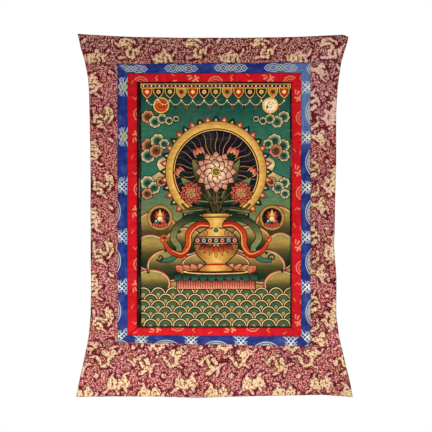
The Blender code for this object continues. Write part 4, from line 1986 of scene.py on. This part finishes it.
    def vase(self) -> None:
        """A round gilded vase with a band of jewels and a flared lip."""
        u = self.middle
        shape = both_sides((
            (0, -18), (22, -18), (27, -22), (16, -32), (12, -42), (20, -50), (38, -62), (44, -80),
            (38, -98), (24, -112), (18, -119), (30, -127), (32, -132), (0, -133),
        )) + (u, 0)
        shine = (Pigment.umber, Pigment.ochre, Pigment.gold, Pigment.ochre, Pigment.umber)
        self.lined(shape, Wash((u - 44, 0), (u + 44, 0), shine), 1.4, gilt=0.9)
        right = shape[: len(shape) // 2]
        right = right[np.argsort(right[:, 1])]
        for low, high, dye in (
            (-48.5, -45.0, Pigment.vermilion), (-76.0, -66.5, Pigment.indigo), (-80.0, -78.0, Pigment.wine),
            (-64.6, -62.8, Pigment.wine), (-121.0, -117.5, Pigment.vermilion), (-26.0, -23.5, Pigment.leaf),
        ):
            levels = np.linspace(low, high, 6)
            reach = np.interp(levels, right[:, 1], right[:, 0] - u) - 0.3
            sides = (np.stack([u + way * reach, levels], axis=1)[::way] for way in (1, -1))
            self.fill(np.concatenate([*sides]), dye)
        for step in range(7):
            spot = u + 12.4 * (step - 3)
            self.fill(disc(spot, -71.2, 3.7, 14), Pigment.gold, 1.0)
            self.fill(disc(spot, -71.2, 2.5, 12), (Pigment.vermilion, Pigment.teal)[step % 2])
        warm = falling(-80, -106, Pigment.wine, Pigment.orange, Pigment.gold)
        for step in range(-3, 4):
            out = abs(step)
            self.lined(petal(u + 7.5 * step, out - 81, 270 + step * 14, 24 - 2.5 * out, 9, 0.7, 8), warm, 0.7)
        self.lined(petal(u, -56, 90, 12, 11, 0.6), Pigment.teal, 1.2, Pigment.gold, line_gilt=1.0)
        for side in (-1, 1):
            self.fill(curl(u + side * 22, -57, 6, 1.2, 90, 1.8, side), Pigment.wine)

    def jewels(self) -> None:
        """Flaming jewels in navy rounds between the hills."""
        for side in (-1, 1):
            u, v = self.middle + side * 112, -26.0
            self.rings(
                u, v, (26.0, Pigment.line, 0), (24.8, Pigment.ochre, 0.7),
                (20.0, Pigment.wine, 0), (18.8, Pigment.navy, 0),
            )
            for lean, length, dye in (
                (-44, 17, Pigment.vermilion), (44, 17, Pigment.vermilion), (-22, 21, Pigment.orange),
                (22, 21, Pigment.orange), (0, 23, Pigment.gold),
            ):
                self.fill(petal(u, v - 6, 90 + lean, length, 9, 0.6, 8), dye)
            for step, dye in ((-1, Pigment.teal), (1, Pigment.rose), (0, Pigment.cream)):
                spot, height = u + 6.2 * step, v + (-8 if step else -2)
                self.lined(disc(spot, height, 5.2, 16), dye, 0.8)
                self.fill(disc(spot - 1.4, height + 1.6, 1.6, 8), Pigment.ivory)
            for step in range(-2, 3):
                base = u + 4 * step, v - 12 + 0.6 * abs(step)
                self.lined(petal(*base, 270 + 26 * step, 9, 6.5, 0.8, 6), Pigment.rose, 0.6)

    @staticmethod
    def lappet(centre: float, reach: float, lift: float) -> Outline:
        """A pointed lappet of the canopy, its point raised by a lift."""
        side = ((reach, 241), (reach, 225), (reach * 0.72, 219 + lift * 0.4))
        left = [(centre - out, v) for out, v in side]
        right = [(centre + out, v) for out, v in reversed(side)]
        return spread(*left, (centre, 211 + lift), *right)

    def canopy(self) -> None:
        """A valance of pointed lappets along the top, hung with pearls and tassels."""
        count = 13
        width = 297.2 / count
        centres = [self.left + width * (step + 0.5) for step in range(count)]
        dyes = (Pigment.vermilion, Pigment.navy, Pigment.leaf, Pigment.ochre)
        for step, centre in enumerate(centres):
            for inset, lift, dye, gilt in (
                (0.4, 0.0, Pigment.line, 0.0), (1.3, 1.2, Pigment.gold, 1.0), (2.5, 3.0, dyes[step % 4], 0.0),
            ):
                self.fill(self.lappet(centre, width / 2 - inset, lift), dye, gilt)
            dye = Pigment.gold if step % 4 != 3 else Pigment.wine
            self.fill(lobed(centre, 226, 4.6, 5, 0.35, 0.2), dye, 1.0)
            self.fill(disc(centre, 226, 1.5, 8), Pigment.vermilion if step % 4 else Pigment.ivory)
            self.fill(disc(centre, 208.6, 1.9, 10), Pigment.ivory)
        beads = 8
        for step, start in enumerate(centres[:-1]):
            for bead in range(1, beads):
                share = bead / beads
                place = start + width * share, 209 - 36 * share * (1 - share)
                self.fill(disc(*place, 1.15, 7), Pigment.ivory if bead % 2 else Pigment.gold)
            tassel = petal(start + width / 2, 200, 270, 9, 3.4, 1.2, 6)
            self.fill(tassel, Pigment.vermilion if step % 2 else Pigment.leaf)
        band = box(self.left, self.right, 234.6, 240.9)
        self.lined(band, Pigment.wine, 1.0, Pigment.gold, line_gilt=1.0)
        for step in range(37):
            stud = disc(-141.8 + 8.04 * step, 237.8, 1.7, 8)
            self.fill(stud, Pigment.gold if step % 2 else Pigment.ivory, 0.8)


@dataclass
class Canvas(Piece):
    """The painted canvas, cut into the painting's areas."""

    painting: Painting
    # In millimetres from the edge: how far its close grid reaches, and where the even one starts
    close_reach: float = 7.0
    even_start: float = 9.0
    # The band along the edge that no outline enters, and how near to each other points are merged
    margin: float = 1.0
    merge: float = 1e-4

    @property
    def half(self) -> np.ndarray:
        """Half the canvas's width and height, in millimetres."""
        return np.array([self.painting.half_width, self.painting.half_height])

    def lattice(self) -> np.ndarray:
        """Even points over the canvas, closer together along its edges, in millimetres."""
        lines = []
        for half in self.half:
            size = 2 * half
            share = stations(size * MM, (CLOTH.turned_width, CLOTH.turned_width))
            even = np.linspace(0, 1, round(size / self.painting.grain) + 1)
            close = share[np.minimum(share, 1 - share) * size < self.close_reach]
            inner = even[np.minimum(even, 1 - even) * size > self.even_start]
            lines.append((np.unique(np.concatenate([close, inner])) * 2 - 1) * half)
        across, up = np.meshgrid(*lines)
        return np.stack([across.ravel(), up.ravel()], axis=1)

    def cut(self, areas: Sequence[Area]) -> tuple[np.ndarray, np.ndarray]:
        """Cuts the canvas into triangles, none of which crosses an outline.

        Args:
            areas: The painted areas.

        Returns:
            The points in millimetres, and the three point numbers of each triangle.
        """
        grid, limit = self.lattice(), self.half - self.margin
        outlines = [np.clip(area.outline, -limit, limit) for area in areas[1:]]
        starts = np.concatenate(outlines)
        stops = np.concatenate([np.roll(outline, -1, axis=0) for outline in outlines])
        owner = np.repeat(np.arange(1, len(areas)), [len(outline) for outline in outlines])
        numbers = np.arange(len(starts))
        after = np.concatenate([
            np.roll(numbers[owner == number], -1) for number in range(1, len(areas))
        ])
        seen = np.ones(len(starts), dtype=bool)
        for number, area in enumerate(areas):
            below = np.flatnonzero(seen & (owner < number))
            covered = area.holds(starts[below]) & area.holds(stops[below])
            covered &= area.holds((starts[below] + stops[below]) / 2)
            seen[below[covered]] = False
        used = np.unique(np.concatenate([numbers[seen], after[seen]]))
        place = np.zeros(len(starts), dtype=int)
        place[used] = len(grid) + np.arange(len(used))
        spots = [Vector(point) for point in np.concatenate([grid, starts[used]])]
        links = np.stack([place[numbers[seen]], place[after[seen]]], axis=1).tolist()
        made = geometry.delaunay_2d_cdt(spots, [tuple(link) for link in links], [], 0, self.merge, False)
        return np.array([tuple(spot) for spot in made[0]]), np.array(made[2])

    @staticmethod
    def tints(
        areas: Sequence[Area], points: np.ndarray, faces: np.ndarray
    ) -> tuple[np.ndarray, np.ndarray]:
        """The colour of each triangle corner and the gilding of each triangle.

        Args:
            areas: The painted areas, the last on top.
            points: The points in millimetres.
            faces: The three point numbers of each triangle.

        Returns:
            The colours and the gilding.
        """
        centres = points[faces].mean(axis=1)
        top = np.zeros(len(faces), dtype=int)
        for number, area in enumerate(areas):
            top[area.holds(centres)] = number
        colours = np.zeros((len(faces), 3, 4))
        gilt = np.zeros(len(faces))
        for number in np.unique(top):
            members = top == number
            corners = points[faces[members]].reshape(-1, 2)
            colours[members] = areas[number].tint(corners).reshape(-1, 3, 4)
            gilt[members] = areas[number].gilt
        return colours, gilt

    def hung(self, points: np.ndarray) -> tuple[np.ndarray, np.ndarray]:
        """Where points of the flat canvas hang, from millimetres to metres.

        Args:
            points: The points.

        Returns:
            Their places in the hanging, and their distances from the canvas's edge.
        """
        ring = CANVAS_SEAM.grown(-CLOTH.gap / 2)
        share_x, share_z = ((points / self.half + 1) / 2).T
        left, right = (ring.point(side, share_z)[0] for side in (Edge.LEFT, Edge.RIGHT))
        x = lerp(left, right, share_x)
        z = lerp(ring.level(Edge.BOTTOM, x), ring.level(Edge.TOP, x), share_z)
        edge = np.maximum((self.half - np.abs(points)).min(axis=1), 0) * MM
        return laid(x, z, edge), edge

    def build(self) -> bpy.types.Object:
        areas = self.painting.paint()
        points, faces = self.cut(areas)
        colours, gilt = self.tints(areas, points, faces)
        place, edge = self.hung(points)
        mesh = bpy.data.meshes.new(self.name)
        mesh.from_pydata(place.tolist(), [], faces.tolist())
        layer = mesh.uv_layers.new(name=CLOTH_MAP)
        layer.uv.foreach_set("vector", (points[faces] * MM).astype(np.float32).ravel())
        paint = mesh.color_attributes.new("paint", "FLOAT_COLOR", "CORNER")
        paint.data.foreach_set("color", colours.astype(np.float32).ravel())
        write(mesh, "gilt", "FACE", gilt)
        piece = bpy.data.objects.new(mesh.name, mesh)
        bpy.context.scene.collection.objects.link(piece)
        bpy.ops.object.select_all(action="DESELECT")
        piece.select_set(True)
        self.dress(piece, edge)
        LOG.info("%s: %d areas, %d triangles", piece.name, len(areas), len(faces))
        return piece


# Stage


@dataclass(frozen=True)
class Studio:
    """A pale floor, soft light and the camera that the hanging is seen by."""

    floor_height: float = -1.45
    floor_reach: float = 0.42
    floor_near: float = -6.0
    floor_side: float = 4.0
    floor_depth: float = 0.04
    camera_distance: float = 3.0
    centre_x: float = 0.006
    centre_z: float = -0.3566
    lens: float = 125.0
    sensor: float = 36.0
    clip: tuple[float, float] = (0.05, 50.0)
    white: float = 1.0
    fill: float = 0.36
    # Each light: its name, its place, its size and its power
    lamps: tuple[tuple[str, tuple[float, float, float], float, float], ...] = (
        ("key", (-0.25, -0.90, -1.05), 0.5, 6.8),
        ("side", (1.9, -1.5, -0.3), 1.0, 11.4),
        ("rear", (0.9, 2.4, 0.4), 1.4, 26.0),
    )
    aim: tuple[float, float, float] = (0.0, 0.0, -0.35)

    def floor(self) -> None:
        """A pale floor below the hanging, out of the camera's view."""
        middle = (self.floor_near + self.floor_reach) / 2
        bpy.ops.object.select_all(action="DESELECT")
        place = (0.0, middle, self.floor_height - self.floor_depth / 2)
        bpy.ops.mesh.primitive_cube_add(size=1.0, location=place)
        slab = bpy.context.object
        slab.name = "floor"
        slab.scale = (2 * self.floor_side, self.floor_reach - self.floor_near, self.floor_depth)
        bpy.ops.object.transform_apply(location=True, rotation=False, scale=True)
        made = bpy.data.materials.new("pale_floor")
        made.use_nodes = True
        graph = Graph(made.node_tree)
        shader = made.node_tree.nodes["Principled BSDF"]
        cloudy = graph.noise(graph.add("ShaderNodeTexCoord", output="Object"), 3.0, 3.0, flat=False)
        graph.feed(shader.inputs["Roughness"], cloudy.scaled(0.1, 0.6))
        graph.feed(shader.inputs["Base Color"], (0.86, 0.86, 0.85, 1.0))
        slab.data.materials.append(made)

    def world(self) -> None:
        """White surroundings, dimmer as light than as background."""
        made = bpy.data.worlds.new("white")
        bpy.context.scene.world = made
        made.use_nodes = True
        graph = Graph(made.node_tree)
        backdrop = made.node_tree.nodes["Background"]
        seen = graph.add("ShaderNodeLightPath", output="Is Camera Ray")
        graph.feed(backdrop.inputs["Strength"], graph.blend(seen, self.fill, self.white))
        graph.feed(backdrop.inputs["Color"], (1.0, 1.0, 1.0, 1.0))

    def lights(self) -> None:
        """A soft light from below in front, one from the right, and one behind for the back."""
        for name, place, size, power in self.lamps:
            data = bpy.data.lights.new(name, "AREA")
            data.shape = "DISK"
            data.size = size
            data.energy = power
            light = bpy.data.objects.new(name, data)
            light.location = place
            light.visible_camera = False
            toward = Vector(self.aim) - light.location
            light.rotation_euler = toward.to_track_quat("-Z", "Y").to_euler()
            bpy.context.scene.collection.objects.link(light)

    def camera(self) -> None:
        """A long lens, level and face on."""
        data = bpy.data.cameras.new("camera")
        data.lens = self.lens
        data.sensor_width = self.sensor
        data.clip_start, data.clip_end = self.clip
        camera = bpy.data.objects.new("camera", data)
        camera.location = (self.centre_x, -self.camera_distance, self.centre_z)
        camera.rotation_euler = (math.pi / 2, 0.0, 0.0)
        bpy.context.scene.collection.objects.link(camera)
        bpy.context.scene.camera = camera

    def build(self) -> None:
        """Sets the stage."""
        self.camera()
        self.floor()
        self.world()
        self.lights()
        bpy.context.scene.view_settings.view_transform = "Standard"
        LOG.info("stage set")


# Assembly


@dataclass(frozen=True)
class Mounting:
    """The three rounds of brocade round the canvas, with where each piece's pattern starts."""

    # For each strip: its phase and its row, in the red round and in the blue one
    strips: tuple[tuple[Edge, float, float, float, float], ...] = (
        (Edge.TOP, 0.005, 0.0, 0.036, 0.0),
        (Edge.BOTTOM, 0.079, -0.0035, 0.056, 0.1042),
        (Edge.LEFT, -0.1530, -0.0056, -0.0975, 0.1 + BLUE.cut_outward * MM),
        (Edge.RIGHT, -0.1600, -0.002, -0.0990, 0.1025),
    )

    def sheets(self) -> list[Sheet]:
        """The strips and the panels, in the order in which they are sewn."""
        sewn: list[Sheet] = []
        for edge, red_phase, red_row, blue_phase, blue_row in self.strips:
            name, way = edge.value, -1 if edge is Edge.RIGHT else 1
            red, blue = f"red_strip_{name}", f"blue_strip_{name}"
            sewn.append(Strip(red, RED, edge, CANVAS_SEAM, RED_SEAM, red_phase, red_row, way))
            sewn.append(Strip(blue, BLUE, edge, RED_SEAM, BLUE_SEAM, blue_phase, blue_row))
        other_row = MAROON.rise * 10 * MM
        return sewn + [
            SidePanel("maroon_panel_left", MAROON, Edge.LEFT, (0.0516, -0.2530 - other_row)),
            SidePanel("maroon_panel_right", MAROON, Edge.RIGHT, (0.0546, 0.2080)),
            EndPanel("maroon_panel_top", MAROON, Edge.TOP, (-0.1410, -0.0536 - other_row)),
            EndPanel("maroon_panel_bottom", MAROON, Edge.BOTTOM, (-0.0820, -0.6406)),
        ]

    def build(self) -> None:
        """Sews every sheet."""
        for sheet in self.sheets():
            sheet.build()


def main() -> None:
    """Builds the stage and the hanging."""
    logging.basicConfig(level=logging.INFO, format="%(message)s")
    Studio().build()
    Mounting().build()
    Canvas("painted_canvas", COTTON, Painting()).build()


if __name__ == "__main__":
    main()
